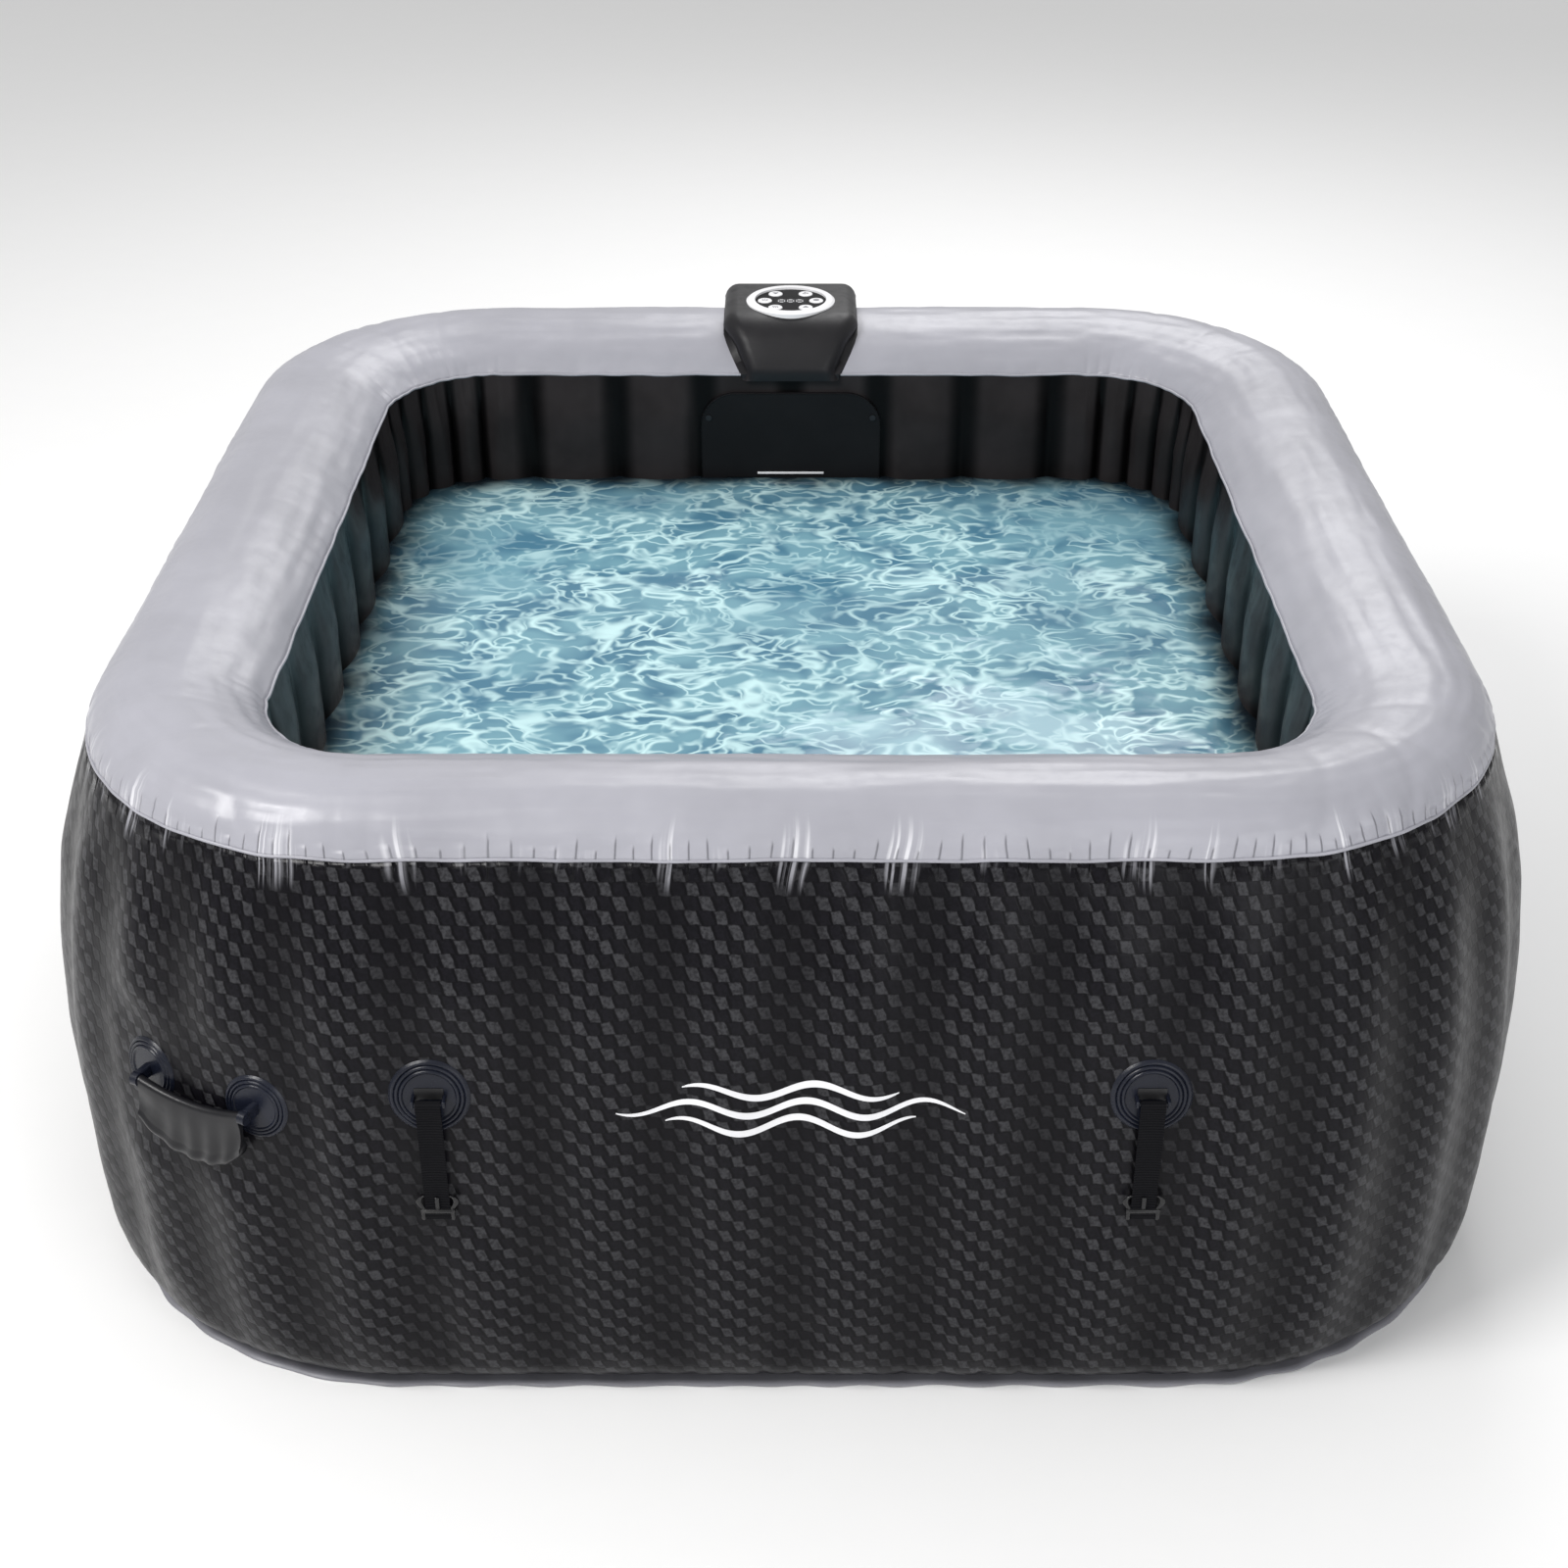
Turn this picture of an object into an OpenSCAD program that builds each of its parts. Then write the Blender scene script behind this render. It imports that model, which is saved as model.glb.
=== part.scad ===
// Square inflatable hot tub with a pump unit built into the rear wall.
// Origin: centre of the base on the ground. +Z is up, the front is -Y.

/* [Shell] */
// Overall width, left to right, at the widest part of the wall
tub_w = 1550; // [1300:10:2000]
// Overall length, front to back, at the widest part of the wall
tub_l = 1550; // [1300:10:2000]
// Height of the top of the rim
tub_h = 670; // [560:5:800]
// Corner radius in plan, at the widest part of the wall
corner_r = 375; // [350:5:440]
// Depth of the wall from its widest part to the inside face
wall_depth = 238; // [220:5:280]
// Height of the widest part of the wall
bulge_z = 250; // [200:5:330]
// Height of the rim above the two upper seams
rim_rise = 53; // [40:1:64]
// How far the outer upper seam stands in from the widest part
seam_inset = 60; // [45:1:80]
// Distance from the outer seam to the crest of the rim
crest_in = 62; // [45:1:75]
// Radius of the wall's profile below the widest part
lower_r = 3000; // [1500:50:4500]
// Radius of the rounding at the foot of the wall
foot_r = 42; // [30:1:80]
// Thickness of the vinyl skins
skin = 1.5; // [1:0.1:3]
// Thickness of the base sheet
base_t = 3; // [2:0.5:6]
// Thickness of the floor liner
floor_t = 2; // [1:0.5:5]
// Width of a welded lap
lap_w = 15; // [10:1:25]
// Radius of the welded seam bead
seam_bead = 2.6; // [2.3:0.1:4]
// Width of the flange that shows under the foot
flange_w = 32; // [15:1:40]

/* [Beams] */
// Spacing of the beams that tie the two walls
beam_pitch = 122; // [100:1:150]
// Thickness of a beam
beam_t = 1.2; // [0.8:0.1:3]
// Beams in each corner
corner_beams = 4; // [2:1:6]

/* [Bubble channel] */
// Radius of the half-round air channel
channel_r = 16; // [12:1:24]
// Distance from the inner wall to the channel's centre
channel_in = 34; // [28:1:60]
// Radius of an air hole
air_hole_r = 2; // [1.5:0.1:4]
// Air holes along each side
air_holes = 12; // [4:1:20]

/* [Handles] */
// Height of the handle's hinge line
handle_z = 363; // [300:1:420]
// Angle round the corner of the handle's middle
handle_angle = 62.5; // [50:0.5:65]
// Distance between the handle's anchors
handle_span = 131; // [120:1:160]
// Radius of an anchor disc
anchor_r = 34; // [28:1:40]
// Distance from the wall to the handle's hinge line
handle_out = 19; // [17:1:28]
// Radius of the handle's pins
handle_pin_r = 3; // [2.5:0.1:4]
// How far the grip droops
grip_drop = 40; // [30:1:55]
// Width of the grip sleeve
grip_w = 24; // [16:1:30]
// Thickness of the grip sleeve
grip_t = 9; // [6:1:12]

/* [Cover straps] */
// Height of the strap patches
strap_z = 387; // [330:1:430]
// Distance of each strap from the end of its side's straight part
strap_in = 59; // [50:1:120]
// Radius of a strap patch
patch_r = 39; // [34:1:46]
// Thickness of a patch
patch_t = 3; // [2:0.5:5]
// Width of the webbing
web_w = 24; // [18:1:30]
// Thickness of the webbing
web_t = 1.8; // [1.2:0.1:3]
// Distance between the two bars of a strap
strap_len = 136; // [100:1:150]
// Radius of the strap's bars
bar_r = 1.8; // [1.5:0.1:3]
// Gap between the hanging webbing and the widest part of the wall
hang_gap = 1; // [0.5:0.5:5]
// Height of a buckle
buckle_h = 27; // [20:1:32]

/* [Valves] */
// Height of the air valve
air_valve_z = 470; // [420:1:520]
// Height of the drain valve
drain_valve_z = 110; // [90:1:180]
// Distance of the valves from the middle of the right side
valve_y = 150; // [60:1:220]
// Radius of the valves' necks
valve_r = 16; // [12:1:20]

/* [Pump unit] */
// How far the front plate reaches past each side of the housing
plate_side = 13; // [11:1:25]
// How far the front plate reaches below the housing
plate_below = 25; // [20:1:40]
// Corner radius of the front plate
plate_r = 48; // [20:1:60]
// Thickness of the front plate
plate_t = 6; // [4:0.5:10]
// Gap from the upper seam down to the front plate
plate_gap = 25; // [20:1:40]
// Width of the housing
house_w = 224; // [216:1:236]
// Height of the housing
house_h = 300; // [290:1:312]
// Depth of the housing
house_d = 150; // [146:1:156]
// Wall of the housing
house_t = 3; // [2:0.5:4]
// Radius of the filter cartridge
filter_r = 44; // [38:1:46]
// Length of the filter cartridge
filter_len = 92; // [80:1:94]
// Radius of the cable's hole in its gland
cable_r = 4.5; // [3:0.1:6]

/* [Control head] */
// Width of the head across the rim
head_w = 187; // [170:1:220]
// Width of the head's lip
lip_w = 122; // [110:1:150]
// Height of the head above the rim
head_rise = 19; // [17:1:28]
// Outer radius of the ring round the panel
bezel_r = 62; // [58:1:68]
// Radius of the panel
panel_r = 50; // [48:1:52]
// Radius of a button
button_r = 10; // [8:0.5:10]
// Travel of a button
button_travel = 1.2; // [0.8:0.1:1.6]
// Distance of the buttons from the panel's centre
button_ring = 36; // [35:0.5:37]
// Width of the display window
display_w = 42; // [34:1:46]

/* [Hidden] */

// Clearances: touching parts of one body have none.
pin_gap = 0.1;   // radial, between a pin or bar and its eye
free_gap = 0.5;  // between parts that move past each other
lay_gap = 0.02;  // between the base sheet and the flange around it
round_fn = 48;
sweep_fn = 180;

// The shell is one profile carried round the plan: s is measured outward from the
// line through the corner centres, z is the height.
half_x = tub_w / 2 - corner_r;
half_y = tub_l / 2 - corner_r;
seam_z = tub_h - rim_rise;
seam_s = corner_r - seam_inset;
crest_s = seam_s - crest_in;
inner_s = corner_r - wall_depth;
floor_z = base_t + floor_t;

function arc(c, r, from, to, n) =
    [for (i = [0:n]) let(a = from + (to - from) * i / n) [c.x + r * cos(a), c.y + r * sin(a)]];
function rev(list) = [for (i = [len(list) - 1:-1:0]) list[i]];
function tail(list) = [for (i = [1:len(list) - 1]) list[i]];

// Outer wall: an upper arc from the seam to the widest part, a flatter lower arc,
// and the rounding of the foot. All three meet tangentially.
upper_h = seam_z - bulge_z;
upper_r = (upper_h * upper_h + seam_inset * seam_inset) / (2 * seam_inset);
upper_a = asin(upper_h / upper_r);
lower_a = asin((bulge_z - foot_r - base_t) / (lower_r - foot_r));
foot_s = corner_r - lower_r + (lower_r - foot_r) * cos(lower_a);
foot_z = base_t + foot_r;
upper_n = 10;
lower_n = 6;
foot_n = 7;
function wall_curve(out) = concat(
    arc([corner_r - upper_r, bulge_z], upper_r + out, upper_a, 0, upper_n),
    tail(arc([corner_r - lower_r, bulge_z], lower_r + out, 0, -lower_a, lower_n)),
    tail(arc([foot_s, foot_z], foot_r + out, -lower_a, -90, foot_n)));
function wall_tilt(z) = asin((z - bulge_z) / (z > bulge_z ? upper_r : lower_r));
function wall_s(z) = z > bulge_z
    ? corner_r - upper_r + sqrt(upper_r * upper_r - (z - bulge_z) * (z - bulge_z))
    : corner_r - lower_r + sqrt(lower_r * lower_r - (z - bulge_z) * (z - bulge_z));

// Rim: a tight arc from the outer seam to the crest, a slacker one to the inner seam.
rim_out_r = (crest_in * crest_in + rim_rise * rim_rise) / (2 * rim_rise);
rim_in_w = crest_s - inner_s;
rim_in_r = (rim_in_w * rim_in_w + rim_rise * rim_rise) / (2 * rim_rise);
rim_out_a = 90 - acos((rim_out_r - rim_rise) / rim_out_r);
rim_in_a = 90 + acos((rim_in_r - rim_rise) / rim_in_r);
rim_n = 8;
function rim_curve(out) = concat(
    arc([crest_s, tub_h - rim_out_r], rim_out_r + out, rim_out_a, 90, rim_n),
    tail(arc([crest_s, tub_h - rim_in_r], rim_in_r + out, 90, rim_in_a, rim_n)));

outer_seam = wall_curve(-skin / 2)[0];
inner_seam = [inner_s + skin / 2, seam_z];

// ---- carrying a profile round the plan ----
module round_plan(x = half_x, y = half_y) {
    for (k = [0:3]) {
        sx = (k == 0 || k == 3) ? 1 : -1;
        sy = (k < 2) ? 1 : -1;
        run = (k % 2 == 0) ? 2 * y : 2 * x;
        translate([sx * x, sy * y, 0]) rotate([0, 0, 90 * k]) {
            rotate_extrude(angle = 90, $fn = sweep_fn) children();
            rotate([90, 0, 0]) linear_extrude(run) children();
        }
    }
}
// A point on side k (0 right, 1 back, 2 left, 3 front): x is s, y runs along the side.
module on_side(k, along) {
    rotate([0, 0, 90 * k]) translate([k % 2 == 0 ? half_x : half_y, along, 0]) children();
}
// A point on the corner after side k, turned by an angle from that side's normal.
module on_corner(k, a) {
    sx = (k == 0 || k == 3) ? 1 : -1;
    sy = (k < 2) ? 1 : -1;
    translate([sx * half_x, sy * half_y, 0]) rotate([0, 0, 90 * k + a]) children();
}
module side_band(w, from, to) {
    translate([0, w / 2, 0]) rotate([90, 0, 0]) linear_extrude(w)
        polygon(concat(wall_curve(to), rev(wall_curve(from))));
}
module corner_band(spread, from, to) {
    rotate([0, 0, -spread / 2]) rotate_extrude(angle = spread, $fn = sweep_fn)
        polygon(concat(wall_curve(to), rev(wall_curve(from))));
}
// Stands on the wall at height z with x along the outward normal.
module at_wall(z) {
    translate([wall_s(z), 0, z]) rotate([0, -wall_tilt(z), 0]) children();
}
module rod_x(r, from, to) {
    translate([from, 0, 0]) rotate([0, 90, 0]) cylinder(r = r, h = to - from, $fn = round_fn);
}
module rod_y(r, from, to) {
    translate([0, from, 0]) rotate([-90, 0, 0]) cylinder(r = r, h = to - from, $fn = round_fn);
}
module rod_z(r, from, to) {
    translate([0, 0, from]) cylinder(r = r, h = to - from, $fn = round_fn);
}
module block(x0, x1, y0, y1, z0, z1) {
    translate([x0, y0, z0]) cube([x1 - x0, y1 - y0, z1 - z0]);
}
// A rounded rectangle in the side's own plane, from x0 to x1.
module slab(x0, x1, w, z0, z1, r) {
    h = z1 - z0;
    translate([x0, 0, (z0 + z1) / 2]) rotate([90, 0, 90]) linear_extrude(x1 - x0) {
        square([w - 2 * r, h], center = true);
        square([w, h - 2 * r], center = true);
        for (i = [-1, 1], j = [-1, 1])
            translate([i * (w / 2 - r), j * (h / 2 - r)]) circle(r = r, $fn = round_fn);
    }
}

// ---- pump unit places, on the rear side ----
unit_x0 = inner_s + skin;
unit_x1 = unit_x0 + house_d;
plate_z1 = seam_z - plate_gap;
plate_above = 15;
plate_w = house_w + 2 * plate_side;
house_z1 = plate_z1 - plate_above;
house_z0 = house_z1 - house_h;
plate_z0 = house_z0 - plate_below;
window_w = house_w - 24;
window_z0 = house_z0 + 12;
window_z1 = house_z1 - 12;
window_r = 14;
duct_in = 27;
duct_w = house_w - 2 * duct_in;
duct_z0 = house_z0 + 45;
duct_z1 = house_z1 - 55;
duct_r = 12;
duct_t = 3;
cover_t = 4;
cover_rim = 22;
rim_flange_t = 8;
filter_room = 13;
filter_y = -(house_w / 2 - house_t - filter_r - filter_room);
filter_z = house_z0 + filter_r + 2 * filter_room;
filter_x1 = unit_x0 + filter_len;
filter_cover_t = 10;
nozzle_in = 52;
nozzle_y = house_w / 2 - nozzle_in;
nozzle_z = filter_z;
nozzle_r = 20;
motor_r = 36;
motor_x = unit_x1 - house_t - motor_r - 6;
motor_z = house_z0 + 185;
motor_y0 = 4;
motor_y1 = 92;
volute_r = 43;
volute_y0 = -34;
volute_y1 = 0;
shaft_r = 5;
heater_r = 19;
heater_z = house_z1 - house_t - heater_r - 4;
heater_x = unit_x0 + 48;
heater_y0 = -house_w / 2 + 17;
heater_y1 = house_w / 2 - 12;
hose_r = 9;
hose_bore = 6.5;
blower_r = 32;
blower_x = unit_x1 - house_t - blower_r - 2;
blower_z1 = house_z0 + 112;
gland_y = -48;
gland_z = duct_z0 + 32;
gland_r = 11;
screw_r = 2;
screw_head_r = 4.2;
plate_screws = [for (i = [-1, 1], z = [house_z0 + 6, house_z1 - 20]) [i * (house_w / 2 + 2), z]];
cover_screws = [for (i = [-1, 1], z = [duct_z0 - 8, duct_z1 + 8]) [i * (duct_w / 2 + 8), z]];

// ---- control head places ----
head_top = tub_h + head_rise;
head_x = crest_s - 14;
saddle_t = 3;
head_floor = tub_h + saddle_t + 1;
panel_z = head_top - 7;
board_t = 1.6;
riser_r = 15;
riser_bore = 12;
cavity_r = panel_r - 1;
button_angles = [0, 54, 126, 180, 234, 306];

// ---- shell ----
module outer_wall() {
    color([0.16, 0.16, 0.18]) difference() {
        round_plan() difference() {
            polygon(concat(wall_curve(0), [[foot_s - lap_w, base_t], [foot_s - lap_w, base_t + skin]],
                rev(wall_curve(-skin))));
            translate(outer_seam) circle(r = seam_bead, $fn = round_fn);
        }
        on_side(1, 0) {
            slab(unit_x0, corner_r + 1, duct_w, duct_z0, duct_z1, duct_r);
            for (p = cover_screws) translate([0, p.x, p.y]) rod_x(screw_r, unit_x1, corner_r + 1);
        }
        on_side(0, valve_y) at_wall(air_valve_z) rod_x(valve_r, -40, 20);
        on_side(0, valve_y) at_wall(drain_valve_z) rod_x(valve_r, -40, 20);
    }
}
module inner_wall() {
    color([0.1, 0.1, 0.11]) difference() {
        round_plan() difference() {
            polygon([[inner_s, floor_z], [inner_s + skin, floor_z], [inner_s + skin, seam_z],
                [inner_s, seam_z]]);
            translate(inner_seam) circle(r = seam_bead, $fn = round_fn);
        }
        on_side(1, 0) {
            slab(inner_s - 1, unit_x0 + 1, window_w, window_z0, window_z1, window_r);
            for (p = plate_screws) translate([0, p.x, p.y]) rod_x(screw_r, inner_s - 1, unit_x0 + 1);
        }
    }
}
module top_ring() {
    color([0.74, 0.74, 0.77]) difference() {
        round_plan() difference() {
            polygon(concat(rim_curve(0), rev(rim_curve(-skin))));
            translate(outer_seam) circle(r = seam_bead, $fn = round_fn);
            translate(inner_seam) circle(r = seam_bead, $fn = round_fn);
        }
        on_side(1, 0) translate([head_x, 0, 0]) rod_z(riser_r, tub_h - 30, tub_h + 5);
    }
}
module top_seams() {
    color([0.82, 0.82, 0.84]) {
        round_plan() translate(outer_seam) circle(r = seam_bead, $fn = round_fn);
        round_plan() translate(inner_seam) circle(r = seam_bead, $fn = round_fn);
    }
}
module plan_sheet(s, z0, z1) {
    for (k = [0:3]) on_corner(k, 0) translate([0, 0, z0]) intersection() {
        cylinder(r = s, h = z1 - z0, $fn = sweep_fn);
        cube([2 * s, 2 * s, z1 - z0]);
    }
    block(-half_x - s, half_x + s, -half_y, half_y, z0, z1);
    block(-half_x, half_x, -half_y - s, half_y + s, z0, z1);
}
module base_sheet() {
    color([0.2, 0.2, 0.22]) plan_sheet(foot_s - lay_gap, 0, base_t);
}
module bottom_flange() {
    color([0.8, 0.8, 0.82]) round_plan()
        translate([foot_s, 0]) square([flange_w, base_t]);
}
module floor_liner() {
    color([0.12, 0.13, 0.15]) plan_sheet(inner_s + skin + lap_w, base_t, floor_z);
}
module beam_section() {
    last = upper_n + lower_n;
    inside = wall_curve(-skin);
    polygon(concat([[unit_x0, inside[last].y], [unit_x0, inside[2].y]],
        [for (i = [2:last]) inside[i]]));
}
module beam_webs() {
    color([0.3, 0.3, 0.33]) {
        for (k = [0:3]) {
            reach = k % 2 == 0 ? half_y : half_x;
            side_n = floor((reach - 12) / beam_pitch);
            for (i = [-side_n:side_n]) {
                clear_of_unit = k != 1 || abs(i * beam_pitch) > plate_w / 2 + 8;
                clear_of_valve = k != 0 || abs(i * beam_pitch - valve_y) > valve_r + 4;
                if (clear_of_unit && clear_of_valve)
                    on_side(k, i * beam_pitch + beam_t / 2) rotate([90, 0, 0])
                        linear_extrude(beam_t) beam_section();
            }
            for (j = [0:corner_beams - 1])
                on_corner(k, 90 * (j + 0.5) / corner_beams)
                    rotate_extrude(angle = beam_t / corner_r * 180 / PI, $fn = sweep_fn)
                        beam_section();
        }
    }
}
module bubble_channel() {
    centre = inner_s - channel_in;
    color([0.28, 0.3, 0.33]) difference() {
        round_plan() polygon(concat(arc([centre, floor_z], channel_r, 0, 180, 12),
            arc([centre, floor_z], channel_r - skin, 180, 0, 12)));
        for (k = [0:3], i = [1:air_holes]) {
            run = k % 2 == 0 ? half_y : half_x;
            on_side(k, run * (2 * i / (air_holes + 1) - 1)) translate([centre, 0, 0])
                rod_z(air_hole_r, floor_z + channel_r - 3, floor_z + channel_r + 1);
        }
    }
}

// ---- carry handles: front left corner and rear right corner ----
anchor_spread = 2 * asin(handle_span / 2 / corner_r);
hinge_x = wall_s(handle_z) * cos(anchor_spread / 2) + handle_out;
lug_t = 8;
lug_r = 7;
eye_t = 8;
lug_y = handle_span / 2;
eye_y = lug_y - lug_t / 2 - free_gap - eye_t / 2;
droop_r = (eye_y * eye_y + grip_drop * grip_drop) / (2 * grip_drop);
droop_a = asin(eye_y / droop_r);
module anchor_pair() {
    difference() {
        intersection() {
            corner_band(50, 0, handle_out + 20);
            union() {
                for (i = [-1, 1]) {
                    intersection() {
                        corner_band(50, 0, patch_t);
                        rotate([0, 0, i * anchor_spread / 2]) translate([0, 0, handle_z])
                            rod_x(anchor_r, inner_s, corner_r + 30);
                    }
                    translate([0, i * lug_y, handle_z]) {
                        translate([hinge_x, 0, 0]) rod_y(lug_r, -lug_t / 2, lug_t / 2);
                        block(inner_s, hinge_x, -lug_t / 2, lug_t / 2, -lug_r, lug_r);
                    }
                }
            }
        }
        translate([hinge_x, 0, handle_z])
            rod_y(handle_pin_r + pin_gap, -handle_span, handle_span);
    }
}
module grip() {
    translate([hinge_x, 0, handle_z]) {
        for (i = [-1, 1]) {
            translate([0, i * eye_y, 0]) rod_y(lug_r - 1, -eye_t / 2, eye_t / 2);
            y0 = i > 0 ? eye_y : -lug_y - lug_t / 2;
            y1 = i > 0 ? lug_y + lug_t / 2 : -eye_y;
            rod_y(handle_pin_r, y0, y1);
        }
        intersection() {
            translate([0, 0, droop_r - grip_drop]) rotate([0, 90, 0])
                rotate([0, 0, -droop_a]) rotate_extrude(angle = 2 * droop_a, $fn = 96)
                    translate([droop_r, 0]) {
                        square([grip_w - grip_t, grip_t], center = true);
                        for (i = [-1, 1]) translate([i * (grip_w - grip_t) / 2, 0])
                            circle(d = grip_t, $fn = round_fn);
                    }
            block(-grip_t, grip_t, -eye_y - eye_t / 2, eye_y + eye_t / 2, -grip_drop - grip_w,
                grip_w);
        }
    }
}
module handle_anchors() {
    color([0.1, 0.1, 0.14]) for (k = [0, 2]) on_corner(k, handle_angle) anchor_pair();
}
module handle_grip_front() {
    color([0.09, 0.09, 0.11]) on_corner(2, handle_angle) grip();
}
module handle_grip_rear() {
    color([0.09, 0.09, 0.11]) on_corner(0, handle_angle) grip();
}

// ---- cover straps: two on each side ----
eye_r = bar_r + pin_gap + web_t;
bar_x = corner_r + hang_gap + eye_r;
bar_out = bar_x - wall_s(strap_z);
ear_t = 4;
ear_y = web_w / 2 + free_gap;
module place_strap(n) {
    k = floor((n - 1) / 2);
    on_side(k, (n % 2 == 1 ? -1 : 1) * ((k % 2 == 0 ? half_y : half_x) - strap_in)) children();
}
module strap_patches() {
    color([0.1, 0.1, 0.14]) for (n = [1:8]) place_strap(n) {
        intersection() {
            side_band(2 * patch_r, 0, bar_out + 10);
            union() {
                intersection() {
                    side_band(2 * patch_r, 0, patch_t);
                    at_wall(strap_z) rod_x(patch_r, -20, 20);
                }
                for (i = [-1, 1]) translate([0, i * (ear_y + ear_t / 2), strap_z]) {
                    translate([bar_x, 0, 0]) rod_y(4, -ear_t / 2, ear_t / 2);
                    block(bar_x - 40, bar_x, -ear_t / 2, ear_t / 2, -4, 4);
                }
                translate([bar_x, 0, strap_z]) rod_y(bar_r, -ear_y - 1, ear_y + 1);
            }
        }
    }
}
module webbing() {
    translate([bar_x, 0, strap_z]) difference() {
        union() {
            rod_y(eye_r, -web_w / 2, web_w / 2);
            translate([0, 0, -strap_len]) rod_y(eye_r, -web_w / 2, web_w / 2);
            block(-web_t / 2, web_t / 2, -web_w / 2, web_w / 2, -strap_len, 0);
        }
        rod_y(bar_r + pin_gap, -web_w, web_w);
        translate([0, 0, -strap_len]) rod_y(bar_r + pin_gap, -web_w, web_w);
    }
}
module buckle() {
    arm_w = 4;
    arm_y = web_w / 2 + free_gap;
    tongue_x = web_t / 2 + free_gap;
    translate([bar_x, 0, strap_z - strap_len]) {
        rod_y(bar_r, -arm_y - 1, arm_y + 1);
        for (i = [-1, 1]) translate([0, i * (arm_y + arm_w / 2), 0]) {
            rod_y(3, -arm_w / 2, arm_w / 2);
            block(-1.5, 4.5, -arm_w / 2, arm_w / 2, 0, 9);
            block(0.5, 3.5, -arm_w / 2, arm_w / 2, 8, buckle_h);
            block(0.5, 3.5, i > 0 ? 1 : -3.5, i > 0 ? 3.5 : -1, buckle_h - 9, buckle_h - 4);
        }
        block(tongue_x, 4.5, -arm_y - 1, arm_y + 1, 5.5, 9);
        block(tongue_x, 3.5, -2.5, 2.5, 8, buckle_h - 3);
    }
}
module strap_webbing(n) {
    color([0.08, 0.08, 0.09]) place_strap(n) webbing();
}
module strap_buckle(n) {
    color([0.05, 0.05, 0.06]) place_strap(n) buckle();
}

// ---- valves, on the right side ----
module valve_body(z) {
    on_side(0, valve_y) difference() {
        union() {
            intersection() {
                side_band(80, 0, 2.5);
                at_wall(z) rod_x(valve_r + 12, -20, 20);
            }
            at_wall(z) rod_x(valve_r, -24, 10);
        }
        at_wall(z) rod_x(valve_r - 3, -30, 20);
    }
}
module valve_cap(z) {
    on_side(0, valve_y) at_wall(z) difference() {
        union() {
            rod_x(valve_r + 4, 4.5, 15);
            block(14, 22, -valve_r, valve_r, -2.5, 2.5);
        }
        rod_x(valve_r + pin_gap, 0, 10 + free_gap);
    }
}
module air_valve_body() {
    color([0.25, 0.25, 0.28]) valve_body(air_valve_z);
}
module air_valve_cap() {
    color([0.18, 0.18, 0.2]) valve_cap(air_valve_z);
}
module drain_valve_body() {
    color([0.25, 0.25, 0.28]) valve_body(drain_valve_z);
}
module drain_valve_cap() {
    color([0.18, 0.18, 0.2]) valve_cap(drain_valve_z);
}

// ---- pump unit ----
module pump_housing() {
    color([0.22, 0.22, 0.24]) on_side(1, 0) difference() {
        union() {
            block(unit_x0, unit_x1, -house_w / 2, house_w / 2, house_z0, house_z1);
            block(unit_x0, unit_x0 + rim_flange_t, -house_w / 2 - 7, house_w / 2 + 7,
                house_z0, house_z1);
        }
        block(unit_x0 - 1, unit_x1 - house_t, -house_w / 2 + house_t, house_w / 2 - house_t,
            house_z0 + house_t, house_z1 - house_t);
        slab(unit_x1 - house_t - 1, unit_x1 + 1, duct_w - 2 * duct_t, duct_z0 + duct_t,
            duct_z1 - duct_t, duct_r - duct_t);
        translate([head_x, 0, 0]) rod_z(riser_bore, house_z1 - house_t - 1, house_z1 + 1);
        for (p = plate_screws) translate([0, p.x, p.y])
            rod_x(screw_r, unit_x0 - 1, unit_x0 + rim_flange_t + 1);
    }
}
module front_plate() {
    color([0.08, 0.08, 0.09]) on_side(1, 0) difference() {
        slab(inner_s - plate_t, inner_s, plate_w, plate_z0, plate_z1, plate_r);
        translate([0, filter_y, filter_z]) rod_x(filter_r + 1.5, inner_s - 20, inner_s + 1);
        translate([0, nozzle_y, nozzle_z]) rod_x(nozzle_r, inner_s - 20, inner_s + 1);
        for (p = plate_screws) translate([0, p.x, p.y]) rod_x(screw_r, inner_s - 20, inner_s + 1);
        for (i = [-3:3]) translate([0, 0, nozzle_z + 90 + 9 * i])
            block(inner_s - 20, inner_s + 1, nozzle_y - 30, nozzle_y + 30, 0, 4);
    }
}
module rear_cover() {
    color([0.12, 0.12, 0.13]) on_side(1, 0) difference() {
        union() {
            intersection() {
                side_band(duct_w + 60, 0, cover_t);
                slab(unit_x1, corner_r + 20, duct_w + 2 * cover_rim, duct_z0 - cover_rim,
                    duct_z1 + cover_rim, duct_r + cover_rim);
            }
            intersection() {
                side_band(duct_w + 60, -70, cover_t);
                slab(unit_x1, corner_r + 20, duct_w, duct_z0, duct_z1, duct_r);
            }
        }
        intersection() {
            side_band(duct_w + 60, -80, 0);
            slab(unit_x1 - 1, corner_r + 20, duct_w - 2 * duct_t, duct_z0 + duct_t,
                duct_z1 - duct_t, duct_r - duct_t);
        }
        for (i = [-4:4]) translate([0, 0, (duct_z0 + duct_z1) / 2 + 45 + 8 * i])
            block(unit_x1 + 20, corner_r + 20, -60, 60, -2, 2);
        translate([0, gland_y, gland_z]) rod_x(gland_r, unit_x1, corner_r + 20);
        for (p = cover_screws) translate([0, p.x, p.y]) rod_x(screw_r, unit_x1, corner_r + 20);
    }
}
gland_x = wall_s(gland_z);
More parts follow.
